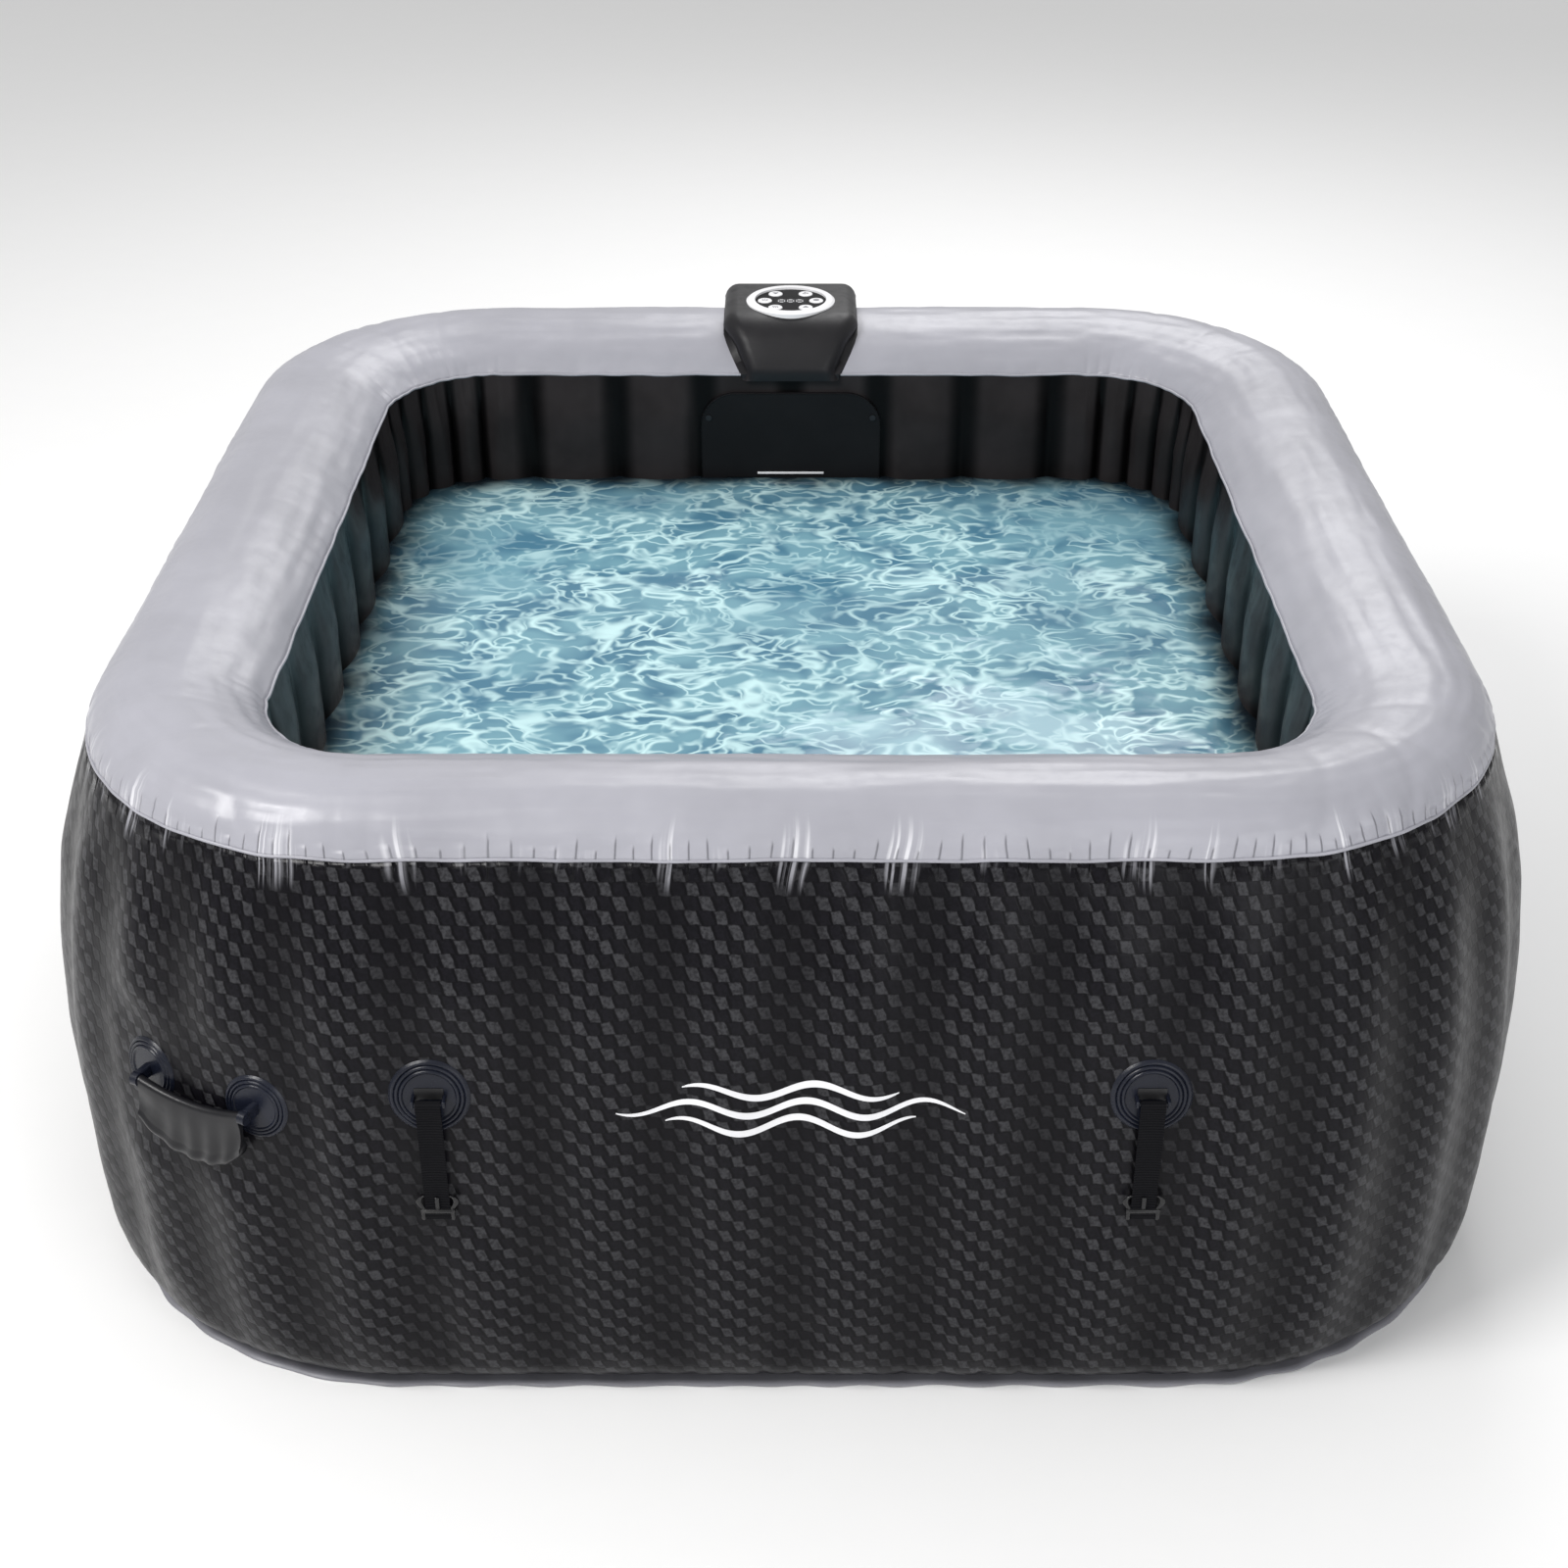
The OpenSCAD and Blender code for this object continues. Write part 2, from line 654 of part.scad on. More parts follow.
module cable_gland() {
    color([0.05, 0.05, 0.06]) on_side(1, gland_y) translate([0, 0, gland_z]) difference() {
        union() {
            intersection() {
                translate([0, 0, -gland_z]) side_band(80, 0, 40);
                rod_x(gland_r, gland_x - 20, gland_x + 22);
            }
            intersection() {
                translate([0, 0, -gland_z]) side_band(80, cover_t, 40);
                rod_x(gland_r + 4, gland_x - 20, gland_x + 14);
            }
        }
        rod_x(cable_r, gland_x - 40, gland_x + 40);
    }
}
module filter_cartridge() {
    color([0.85, 0.85, 0.86]) on_side(1, filter_y) translate([0, 0, filter_z]) difference() {
        union() {
            rod_x(filter_r - 3, inner_s - plate_t - 1, filter_x1);
            for (x = [inner_s - plate_t, filter_x1 - 7]) rod_x(filter_r, x, x + 7);
            for (i = [0:35]) rotate([10 * i, 0, 0])
                block(inner_s, filter_x1 - 6, -1.2, 1.2, filter_r - 5, filter_r - 1);
        }
        rod_x(14, inner_s - plate_t + 6, filter_x1 + 1);
    }
}
module filter_cover() {
    x1 = inner_s - plate_t - 1;
    color([0.1, 0.1, 0.11]) on_side(1, filter_y) translate([0, 0, filter_z]) {
        rod_x(filter_r + 10, x1 - filter_cover_t, x1);
        block(x1 - filter_cover_t - 8, x1 - filter_cover_t, -filter_r, filter_r, -4, 4);
    }
}
module return_nozzle() {
    color([0.16, 0.16, 0.17]) on_side(1, nozzle_y) translate([0, 0, nozzle_z]) difference() {
        union() {
            rod_x(nozzle_r, inner_s - plate_t, unit_x0 + 42);
            rod_x(nozzle_r + 6, inner_s - plate_t - 4, inner_s - plate_t);
            block(unit_x0 + 15, unit_x0 + 39, -12, 12, -nozzle_z + house_z0 + house_t, -10);
        }
        rod_x(nozzle_r - 5, inner_s - plate_t - 5, unit_x0 + 38);
        translate([heater_x - 10, 0, 0]) rod_z(hose_bore, 0, nozzle_r + 5);
    }
}
module pump_motor() {
    color([0.5, 0.5, 0.53]) on_side(1, 0) difference() {
        union() {
            translate([motor_x, 0, motor_z]) rod_y(motor_r, motor_y0, motor_y1);
            block(motor_x, unit_x1 - house_t, motor_y0 + 20, motor_y1 - 20, motor_z - 20,
                motor_z + 20);
        }
        translate([motor_x, 0, motor_z]) rod_y(shaft_r + pin_gap / 2, motor_y0 - 1, motor_y0 + 40);
    }
}
module pump_volute() {
    color([0.2, 0.2, 0.22]) on_side(1, 0) difference() {
        union() {
            translate([motor_x, 0, motor_z]) rod_y(volute_r, volute_y0, motor_y0);
            translate([heater_x, (volute_y0 + volute_y1) / 2, 0])
                rod_z(hose_r + 4, motor_z, motor_z + 30);
            block(heater_x - 3, motor_x, volute_y0 + 2, volute_y1, motor_z, motor_z + 12);
        }
        translate([motor_x, 0, motor_z]) {
            rod_y(volute_r - 3, volute_y0 + 3, volute_y1);
            rod_y(shaft_r + 1, volute_y1 - 1, motor_y0 + 1);
            rod_y(hose_bore, volute_y0 - 1, volute_y0 + 4);
        }
        translate([heater_x, (volute_y0 + volute_y1) / 2, 0]) {
            rod_z(hose_bore, motor_z + 4, motor_z + 31);
            translate([0, 0, motor_z + 6]) rod_x(4, 0, motor_x - heater_x);
        }
    }
}
module pump_impeller() {
    color([0.8, 0.8, 0.8]) on_side(1, 0) translate([motor_x, 0, motor_z]) {
        rod_y(shaft_r, volute_y0 + 12, motor_y0 + 39);
        rod_y(volute_r - 8, volute_y1 - 8, volute_y1 - 5);
        for (i = [0:5]) rotate([0, 60 * i, 0])
            block(shaft_r - 1, volute_r - 9, -18, -7, -1.2, 1.2);
    }
}
module heater_tube() {
    color([0.7, 0.7, 0.72]) on_side(1, 0) translate([heater_x, 0, heater_z]) difference() {
        union() {
            rod_y(heater_r, heater_y0, heater_y1);
            for (y = [heater_y0 + 9, heater_y1 - 22])
                block(-9, 9, y, y + 12, 0, house_z1 - house_t - heater_z);
        }
        rod_y(heater_r - 3, heater_y0 + 3, heater_y1 - 3);
        translate([0, (volute_y0 + volute_y1) / 2, 0]) rod_z(hose_bore, -heater_r - 1, -5);
        translate([-10, nozzle_y, 0]) rod_z(hose_bore, -heater_r - 1, -5);
    }
}
module air_blower() {
    color([0.3, 0.3, 0.33]) on_side(1, 0) difference() {
        union() {
            translate([blower_x, nozzle_y + 8, 0]) rod_z(blower_r, house_z0 + house_t, blower_z1);
            translate([blower_x, nozzle_y + 8, 0]) rod_z(12, blower_z1 - 1, blower_z1 + 14);
        }
        translate([blower_x, nozzle_y + 8, 0]) rod_z(9, blower_z1 - 30, blower_z1 + 20);
    }
}
module pipe(x, y, z0, z1) {
    translate([x, y, 0]) difference() {
        rod_z(hose_r, z0, z1);
        rod_z(hose_bore, z0 - 1, z1 + 1);
    }
}
hose_join = sqrt(heater_r * heater_r - hose_r * hose_r);
module hoses() {
    color([0.7, 0.72, 0.75]) on_side(1, 0) {
        difference() {
            pipe(heater_x, (volute_y0 + volute_y1) / 2, motor_z + 30, heater_z);
            translate([heater_x, 0, heater_z]) rod_y(heater_r, heater_y0, heater_y1);
        }
        difference() {
            pipe(heater_x - 10, nozzle_y, nozzle_z, heater_z);
            translate([heater_x, 0, heater_z]) rod_y(heater_r, heater_y0, heater_y1);
            translate([0, nozzle_y, nozzle_z]) rod_x(nozzle_r, inner_s - plate_t, unit_x0 + 42);
        }
        difference() {
            union() {
                translate([motor_x, 0, motor_z]) rod_y(hose_r, filter_y - hose_r, volute_y0);
                translate([motor_x, filter_y, 0]) rod_z(hose_r, filter_z, motor_z);
                translate([motor_x, filter_y, filter_z]) sphere(r = hose_r, $fn = round_fn);
                translate([0, filter_y, filter_z]) rod_x(hose_r, filter_x1 + 1, motor_x);
            }
            translate([motor_x, 0, motor_z]) rod_y(hose_bore, filter_y, volute_y0 + 1);
            translate([motor_x, filter_y, 0]) rod_z(hose_bore, filter_z, motor_z);
            translate([0, filter_y, filter_z]) rod_x(hose_bore, filter_x1, motor_x);
        }
    }
}
module power_board() {
    color([0.1, 0.35, 0.2]) on_side(1, 0)
        block(unit_x0 + 20, unit_x0 + 90, -house_w / 2 + house_t, -house_w / 2 + house_t + 2,
            filter_z + 60, heater_z - 30);
}
module unit_screws() {
    color([0.6, 0.6, 0.62]) on_side(1, 0) {
        for (p = plate_screws) translate([0, p.x, p.y]) {
            rod_x(screw_head_r, inner_s - plate_t - 2.2, inner_s - plate_t);
            rod_x(screw_r, inner_s - plate_t, unit_x0 + rim_flange_t);
        }
        for (p = cover_screws) translate([0, p.x, p.y]) {
            rod_x(screw_r, wall_s(p.y) - 8, wall_s(p.y) + cover_t + 1);
            intersection() {
                translate([0, 0, -p.y]) side_band(40, cover_t, cover_t + 2.2);
                rod_x(screw_head_r, wall_s(p.y) - 8, corner_r + 20);
            }
        }
    }
}

// ---- control head, over the rear rim ----
saddle_x0 = inner_s + 28;
saddle_x1 = crest_s + 34;
module rim_solid(out) {
    polygon(concat(rim_curve(out), [[inner_s, seam_z - 40], [seam_s, seam_z - 40]]));
}
module saddle_section() {
    difference() {
        intersection() {
            rim_solid(saddle_t);
            translate([saddle_x0, seam_z]) square([saddle_x1 - saddle_x0, 100]);
        }
        rim_solid(0);
    }
}
module head_saddle() {
    color([0.15, 0.15, 0.16]) on_side(1, 0) difference() {
        union() {
            translate([0, 60, 0]) rotate([90, 0, 0]) linear_extrude(120) saddle_section();
            translate([head_x, 0, 0]) rod_z(riser_r, house_z1, head_floor);
        }
        translate([head_x, 0, 0]) rod_z(riser_bore, house_z1 - 1, head_floor + 1);
    }
}
lip_x = inner_s - 9;
head_back_x = seam_s + 18;
module head_section() {
    difference() {
        polygon(concat([[lip_x, seam_z - 6], [lip_x - 3, seam_z + 10]],
            arc([crest_s - 55, head_top - 62], 62, 152, 90, 6),
            arc([head_back_x - 14, head_top - 14], 14, 90, 10, 4),
            [[head_back_x + 4, seam_z + 4], [head_back_x - 4, seam_z - 2], [seam_s + 3, seam_z]]));
        rim_solid(0);
        translate(outer_seam) circle(r = seam_bead + 0.4, $fn = round_fn);
        translate(inner_seam) circle(r = seam_bead + 0.4, $fn = round_fn);
        translate([lip_x + 4, seam_z - 20]) square([inner_s + 2 - lip_x, 20 - 2]);
    }
}
module head_shell() {
    color([0.23, 0.23, 0.25]) on_side(1, 0) difference() {
        intersection() {
            translate([0, head_w / 2, 0]) rotate([90, 0, 0]) linear_extrude(head_w)
                head_section();
            translate([0, 0, seam_z - 60]) linear_extrude(200) polygon([
                [lip_x - 20, -lip_w / 2], [inner_s + 10, -lip_w / 2 - 2],
                [crest_s - 62, -head_w / 2], [seam_s + 40, -head_w / 2],
                [seam_s + 40, head_w / 2], [crest_s - 62, head_w / 2],
                [inner_s + 10, lip_w / 2 + 2], [lip_x - 20, lip_w / 2]]);
        }
        translate([0, 60, 0]) rotate([90, 0, 0]) linear_extrude(120) saddle_section();
        translate([head_x, 0, 0]) {
            rod_z(riser_r, tub_h - 10, head_floor + 1);
            rod_z(cavity_r, head_floor, head_top);
            rod_z(bezel_r, panel_z, head_top + 5);
        }
    }
}
module bezel_ring() {
    color([0.93, 0.93, 0.94]) on_side(1, 0) translate([head_x, 0, 0]) difference() {
        union() {
            rod_z(bezel_r, panel_z, head_top);
            translate([0, 0, head_top]) cylinder(r1 = bezel_r, r2 = bezel_r - 3, h = 2,
                $fn = round_fn);
        }
        rod_z(panel_r, panel_z - 1, head_top + 5);
    }
}
module at_button(i) {
    on_side(1, 0) translate([head_x, 0, 0]) rotate([0, 0, 90 + button_angles[i]])
        translate([button_ring, 0, 0]) children();
}
panel_t = 6;
window_h = 17;
module panel_face() {
    color([0.05, 0.05, 0.06]) difference() {
        on_side(1, 0) translate([head_x, 0, 0]) {
            difference() {
                rod_z(panel_r, panel_z, panel_z + panel_t);
                block(-window_h / 2, window_h / 2, -display_w / 2, display_w / 2, panel_z - 1,
                    head_top + 1);
            }
        }
        for (i = [0:5]) at_button(i) rod_z(button_r + free_gap, panel_z - 1, head_top + 5);
    }
}
module display_window() {
    color([0.15, 0.03, 0.03]) on_side(1, 0) translate([head_x, 0, 0])
        block(-window_h / 2, window_h / 2, -display_w / 2, display_w / 2, panel_z + 2,
            panel_z + panel_t);
}
module control_board() {
    color([0.1, 0.35, 0.2]) on_side(1, 0) translate([head_x, 0, 0]) difference() {
        union() {
            rod_z(cavity_r, head_floor, head_floor + board_t);
            block(-6, 6, -15, 15, head_floor + 1, panel_z + 2);
        }
        rod_z(riser_bore / 2, head_floor - 1, head_floor + board_t - 0.4);
    }
}
stem_z = head_floor + board_t + button_travel + 0.3;
flange_z = panel_z - 0.3;
module button(i) {
    color([0.92, 0.92, 0.93]) at_button(i) {
        rod_z(button_r, flange_z - 1, panel_z + panel_t + 1.4);
        rod_z(button_r + 1.6, flange_z - 1.4, flange_z);
        rod_z(3, stem_z, flange_z - 1);
    }
}

outer_wall();
inner_wall();
top_ring();
base_sheet();
floor_liner();
beam_webs();
top_seams();
bottom_flange();
bubble_channel();
handle_anchors();
handle_grip_front();
handle_grip_rear();
air_valve_body();
air_valve_cap();
drain_valve_body();
drain_valve_cap();
strap_patches();
strap_webbing(1);  // strap_webbing_1
strap_webbing(2);  // strap_webbing_2
strap_webbing(3);  // strap_webbing_3
strap_webbing(4);  // strap_webbing_4
strap_webbing(5);  // strap_webbing_5
strap_webbing(6);  // strap_webbing_6
strap_webbing(7);  // strap_webbing_7
strap_webbing(8);  // strap_webbing_8
strap_buckle(1);  // buckle_1
strap_buckle(2);  // buckle_2
strap_buckle(3);  // buckle_3
strap_buckle(4);  // buckle_4
strap_buckle(5);  // buckle_5
strap_buckle(6);  // buckle_6
strap_buckle(7);  // buckle_7
strap_buckle(8);  // buckle_8
pump_housing();
front_plate();
rear_cover();
filter_cartridge();
filter_cover();
return_nozzle();
pump_volute();
pump_impeller();
pump_motor();
heater_tube();
air_blower();
hoses();
cable_gland();
power_board();
head_saddle();
head_shell();
bezel_ring();
panel_face();
display_window();
control_board();
button(0);  // button_1
button(1);  // button_2
button(2);  // button_3
button(3);  // button_4
button(4);  // button_5
button(5);  // button_6
unit_screws();
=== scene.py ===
from math import acos, asin, atan2, cos, degrees, exp, floor, pi, radians, sin, sqrt

import bmesh
import bpy
from mathutils import Matrix, Vector, noise


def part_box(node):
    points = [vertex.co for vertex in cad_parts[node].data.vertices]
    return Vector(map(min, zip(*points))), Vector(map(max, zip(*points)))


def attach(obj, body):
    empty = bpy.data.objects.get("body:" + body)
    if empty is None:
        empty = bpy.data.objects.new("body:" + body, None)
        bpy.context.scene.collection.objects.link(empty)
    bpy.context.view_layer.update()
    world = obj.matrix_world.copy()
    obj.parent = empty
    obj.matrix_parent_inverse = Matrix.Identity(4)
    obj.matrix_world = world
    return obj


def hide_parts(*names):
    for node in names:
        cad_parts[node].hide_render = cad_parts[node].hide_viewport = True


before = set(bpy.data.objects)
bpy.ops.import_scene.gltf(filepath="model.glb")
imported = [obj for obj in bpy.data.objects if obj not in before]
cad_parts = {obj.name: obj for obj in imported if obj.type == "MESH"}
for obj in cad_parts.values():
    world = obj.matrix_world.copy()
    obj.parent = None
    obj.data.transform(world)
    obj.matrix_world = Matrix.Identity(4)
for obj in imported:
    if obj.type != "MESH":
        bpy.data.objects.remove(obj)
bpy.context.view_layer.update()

bl_info = {
    "name": "Square inflatable hot tub",
    "version": (1, 0, 0),
    "blender": (4, 5, 0),
    "location": "View3D > Sidebar > Hot tub",
    "description": "Detailed pieces and finishes for a square inflatable hot tub",
    "category": "Object",
}

RIM_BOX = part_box("top_ring")
WALL_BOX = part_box("outer_wall")
FRONT_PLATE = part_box("front_plate")
HEAD_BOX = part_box("head_shell")
BEZEL_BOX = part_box("bezel_ring")
STRAPS = range(1, 9)
BUTTONS = range(1, 7)
ROUND_STEPS = 828       # 18 steps to each of the 46 rolls
INNER_LIFT = 0.2        # added to a wrap height inside the rim's crest, so its inner seam has no pleats
LINE_OUT = 0.0004       # how far printed lines stand off the wall
SMOOTH = 180            # given as the sharp angle, it leaves a piece with no sharp edge


# ---- sizes and colours -------------------------------------------------------------

def length(name, text, value):
    return bpy.props.FloatProperty(name=name, description=text, default=value, unit="LENGTH", precision=4)


def tint(name, text, value):
    return bpy.props.FloatVectorProperty(name=name, description=text, default=value, size=3,
                                         subtype="COLOR", min=0.0, max=1.0)


class HotTubShell(bpy.types.PropertyGroup):
    """Sizes of the inflated shell."""
    corner_radius: length("Corner radius", "Plan radius at the widest part of the wall", 0.375)
    wall_depth: length("Wall depth", "From the widest part to the inside face", 0.238)
    widest_height: length("Widest height", "Height of the widest part of the wall", 0.25)
    rim_rise: length("Rim rise", "Height of the rim above its two seams", 0.053)
    seam_inset: length("Seam inset", "How far the outer seam stands in from the widest part", 0.06)
    crest_in: length("Crest inset", "From the outer seam to the crest of the rim", 0.062)
    lower_radius: length("Lower radius", "Profile radius below the widest part", 3.0)
    foot_radius: length("Foot radius", "Rounding at the foot of the wall", 0.042)
    base_thickness: length("Base thickness", "Thickness of the base sheet", 0.003)
    skin: length("Skin", "Thickness of the vinyl", 0.0015)
    seam_bead: length("Seam bead", "Radius of the welded seam", 0.0018)
    lobes: bpy.props.IntProperty(name="Lobes", description="Bulges between the inner beams, all round", default=46)
    outer_lobe: length("Outer lobe", "Half the depth of the outer wall's bulges", 0.0044)
    inner_lobe: length("Inner lobe", "Depth of the inner wall's bulges", 0.013)
    puckers: bpy.props.IntProperty(name="Puckers", description="Gathers along a seam, all round", default=142)
    pleats: bpy.props.IntProperty(name="Pleats", description="Fine pleats along a seam, all round", default=285)
    pucker_depth: length("Pucker depth", "Depth of the gathers at the seams", 0.0036)
    weave_width: length("Weave width", "Width of a cell of the printed weave", 0.0133)
    weave_height: length("Weave height", "Height of a cell of the printed weave", 0.0130)
    flange_width: length("Flange width", "Width of the weld flange under the foot", 0.032)
    water_level: length("Water level", "Height of the water", 0.467)


class HotTubFittings(bpy.types.PropertyGroup):
    """Sizes of the straps, the handles and the trim."""
    patch_radius: length("Patch radius", "Radius of a strap patch", 0.039)
    patch_height: length("Patch height", "Height of the patches' bars above the ground", 0.387)
    anchor_radius: length("Anchor radius", "Radius of a handle anchor", 0.034)
    handle_height: length("Handle height", "Height of the handles' hinge line", 0.363)
    handle_span: length("Handle span", "Distance between the anchors of a handle", 0.131)
    handle_out: length("Handle stand-off", "From the wall to the hinge line", 0.019)
    handle_angle: bpy.props.FloatProperty(name="Handle angle", description="Place of a handle round its corner",
                                          default=radians(62.5), subtype="ANGLE")
    web_thickness: length("Webbing thickness", "Thickness of the webbing", 0.0018)
    emblem_width: length("Emblem width", "Width of the wave emblem on the front", 0.33)
    emblem_height: length("Emblem height", "Height of the emblem's middle", 0.376)


class HotTubColours(bpy.types.PropertyGroup):
    """Colours of the main finishes."""
    rim: tint("Rim", "Light grey vinyl of the rim", (0.345, 0.345, 0.385))
    weave_light: tint("Weave, light", "Light cells of the printed weave", (0.040, 0.040, 0.044))
    weave_mid: tint("Weave, middle", "Middle cells of the printed weave", (0.0066, 0.0062, 0.0086))
    # The weave's dark colour is also the painted shade in the troughs between the rolls.
    weave_dark: tint("Weave, dark", "Gaps of the printed weave", (0.0026, 0.0024, 0.0034))
    inner: tint("Inner wall", "Vinyl of the inner wall", (0.024, 0.0215, 0.0225))
    flange: tint("Flange", "Weld flange at the foot", (0.22, 0.22, 0.245))
    patch: tint("Patch", "Vinyl of the patches and anchors", (0.009, 0.011, 0.020))
    head: tint("Control head", "Plastic of the control head", (0.0095, 0.0090, 0.0108))
    water_deep: tint("Water, deep", "Darkest tone of the water", (0.070, 0.185, 0.270))
    water_mid: tint("Water, middle", "Middle tone of the water", (0.165, 0.330, 0.400))
    # Colour of the painted caustic light on the water.
    water_caustic_light: tint("Water, light", "Colour of the light patches", (0.52, 0.74, 0.76))


class HotTub(bpy.types.PropertyGroup):
    """Everything that can be changed on the tub."""
    shell: bpy.props.PointerProperty(type=HotTubShell)
    fittings: bpy.props.PointerProperty(type=HotTubFittings)
    colours: bpy.props.PointerProperty(type=HotTubColours)


def tub():
    return bpy.context.scene.hot_tub


# ---- the shell's own curves --------------------------------------------------------

def ease(low, high, x):
    t = min(max((x - low) / (high - low), 0.0), 1.0)
    return t * t * (3 - 2 * t)


def arc(cs, cz, r, start, end, count):
    return [(cs + r * cos(start + (end - start) * i / count), cz + r * sin(start + (end - start) * i / count))
            for i in range(count + 1)]


class Shell:
    """The tub's profile and plan: s runs outward from the corner centres, u runs along the wall from the
    middle of the back, and z is the height."""

    def __init__(self):
        p = tub().shell
        self.p = p
        self.r = p.corner_radius
        self.hx = WALL_BOX[1].x - self.r
        self.hy = WALL_BOX[1].y - self.r
        self.top = RIM_BOX[1].z
        self.seam_z = self.top - p.rim_rise
        self.seam_s = self.r - p.seam_inset
        self.crest_s = self.seam_s - p.crest_in
        self.inner_s = self.r - p.wall_depth
        self.bend = pi * self.r / 2
        self.length = 4 * self.hx + 4 * self.hy + 4 * self.bend
        rise = self.seam_z - p.widest_height
        self.upper_r = (rise ** 2 + p.seam_inset ** 2) / (2 * p.seam_inset)
        self.lower_a = asin((p.widest_height - p.foot_radius - p.base_thickness) / (p.lower_radius - p.foot_radius))
        self.foot_s = self.r - p.lower_radius + (p.lower_radius - p.foot_radius) * cos(self.lower_a)
        self.rim_out_r = (p.crest_in ** 2 + p.rim_rise ** 2) / (2 * p.rim_rise)
        inner_w = self.crest_s - self.inner_s
        self.rim_in_r = (inner_w ** 2 + p.rim_rise ** 2) / (2 * p.rim_rise)

    def plan(self, u, s):
        """The point of the plan at distance u along the wall and s out from the corner centres."""
        u = u % self.length
        hx, hy, bend, r = self.hx, self.hy, self.bend, self.r
        for kind, run, x, y, turn in (("side", hx, 0, hy, 90), ("bend", bend, -hx, hy, 90),
                                      ("side", 2 * hy, -hx, hy, 180), ("bend", bend, -hx, -hy, 180),
                                      ("side", 2 * hx, -hx, -hy, 270), ("bend", bend, hx, -hy, 270),
                                      ("side", 2 * hy, hx, -hy, 0), ("bend", bend, hx, hy, 0),
                                      ("side", hx, hx, hy, 90)):
            if u <= run + 1e-9:
                a = radians(turn) + (u / r if kind == "bend" else 0.0)
                along = u if kind == "side" else 0.0
                return x + s * cos(a) - along * sin(a), y + s * sin(a) + along * cos(a)
            u -= run
        return 0.0, hy + s

    def unplan(self, x, y):
        """The distance along the wall of a point outside the corner centres."""
        hx, hy, bend = self.hx, self.hy, self.bend
        if abs(x) <= hx and y > 0:
            return (-x) % self.length
        if abs(y) <= hy and x < 0:
            return hx + bend + hy - y
        if abs(x) <= hx:
            return hx + 2 * bend + 2 * hy + hx + x
        if abs(y) <= hy:
            return 3 * hx + 3 * bend + 2 * hy + hy + y
        starts = {(-1, 1): (hx, 90), (-1, -1): (hx + bend + 2 * hy, 180),
                  (1, -1): (3 * hx + 2 * bend + 2 * hy, 270), (1, 1): (3 * hx + 3 * bend + 4 * hy, 0)}
        sx, sy = (1 if x > 0 else -1), (1 if y > 0 else -1)
        start, turn = starts[(sx, sy)]
        a = degrees(atan2(y - sy * hy, x - sx * hx)) % 360
        return start + radians(a - turn) * self.r

    def wall_s(self, z):
        big = self.upper_r if z > self.p.widest_height else self.p.lower_radius
        return self.r - big + sqrt(big ** 2 - (z - self.p.widest_height) ** 2)

    def bar_s(self, n):
        """How far out the bars of strap n stand, from the middle of its webbing."""
        low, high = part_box(f"strap_webbing_{n}")
        middle = (low + high) / 2
        return max(abs(middle.x) - self.hx, abs(middle.y) - self.hy)

    def tilt(self, z):
        big = self.upper_r if z > self.p.widest_height else self.p.lower_radius
        return asin((z - self.p.widest_height) / big)

    def wall_curve(self, out, upper, lower, foot):
        p = self.p
        a = asin((self.seam_z - p.widest_height) / self.upper_r)
        return (arc(self.r - self.upper_r, p.widest_height, self.upper_r + out, a, 0, upper)
                + arc(self.r - p.lower_radius, p.widest_height, p.lower_radius + out, 0, -self.lower_a, lower)[1:]
                + arc(self.foot_s, p.base_thickness + p.foot_radius, p.foot_radius + out, -self.lower_a,
                      -pi / 2, foot)[1:])

    def rim_curve(self, out, count):
        a = pi / 2 - acos((self.rim_out_r - self.p.rim_rise) / self.rim_out_r)
        b = pi / 2 + acos((self.rim_in_r - self.p.rim_rise) / self.rim_in_r)
        return (arc(self.crest_s, self.top - self.rim_out_r, self.rim_out_r + out, a, pi / 2, count)
                + arc(self.crest_s, self.top - self.rim_in_r, self.rim_in_r + out, pi / 2, b, count)[1:])

    def on_wall(self, u, z, out):
        """A point that stands out from the outer wall."""
        t = self.tilt(z)
        x, y = self.plan(u, self.wall_s(z) + out * cos(t))
        return Vector((x, y, z + out * sin(t)))

    # -- how the vinyl moves away from the plain profile --
    def around(self, u, size, layer):
        """Smooth noise along the wall that closes on itself, with features of the given size."""
        t = 2 * pi * u / self.length
        r = self.length / (2 * pi * size)
        return noise.noise(Vector((r * cos(t), r * sin(t), 7.3 * layer)))

    def pucker(self, u, layer):
        wave = sin(2 * pi * self.p.puckers * u / self.length + 3.2 * self.around(u, 0.22, layer))
        strength = 0.55 + 0.9 * self.around(u, 0.10, layer + 1)
        return max(0.0, wave) ** 2.5 * min(max(strength, 0.12), 1.2)

    def clear_of_head(self, u):
        x = min(u, self.length - u)
        return ease(0.100, 0.135, x)

    def clear_of_plate(self, u):
        x = min(u, self.length - u)
        return ease(0.132, 0.150, x)

    def welt(self, u, layer):
        """How far a seam strays sideways and up."""
        k = self.clear_of_head(u)
        return 0.0016 * k * self.around(u, 0.045, layer), 0.0024 * k * self.around(u, 0.05, layer + 1)

    def lobe(self, u):
        """A round roll between two beams, sharp where the beams pull it in."""
        return abs(sin(pi * self.p.lobes * u / self.length))

    def swell(self, u):
        """The soft version of the rolls that shows outside, from 0 at a beam to 2."""
        return 1 - cos(2 * pi * self.p.lobes * u / self.length)

    def folds(self, u, lean):
        """Slanting folds across the corners."""
        total = 0.0
        for corner in range(4):
            middle = self.hx + self.bend / 2 + corner * (self.bend + 2 * self.hx)
            for shift, depth in ((-0.20, 0.7), (-0.07, 1.0), (0.05, 0.8), (0.17, 1.0)):
                gap = u - middle - shift + lean * (0.6 if shift > 0 else -0.6)
                total += depth * exp(-(gap / 0.011) ** 2)
        return total


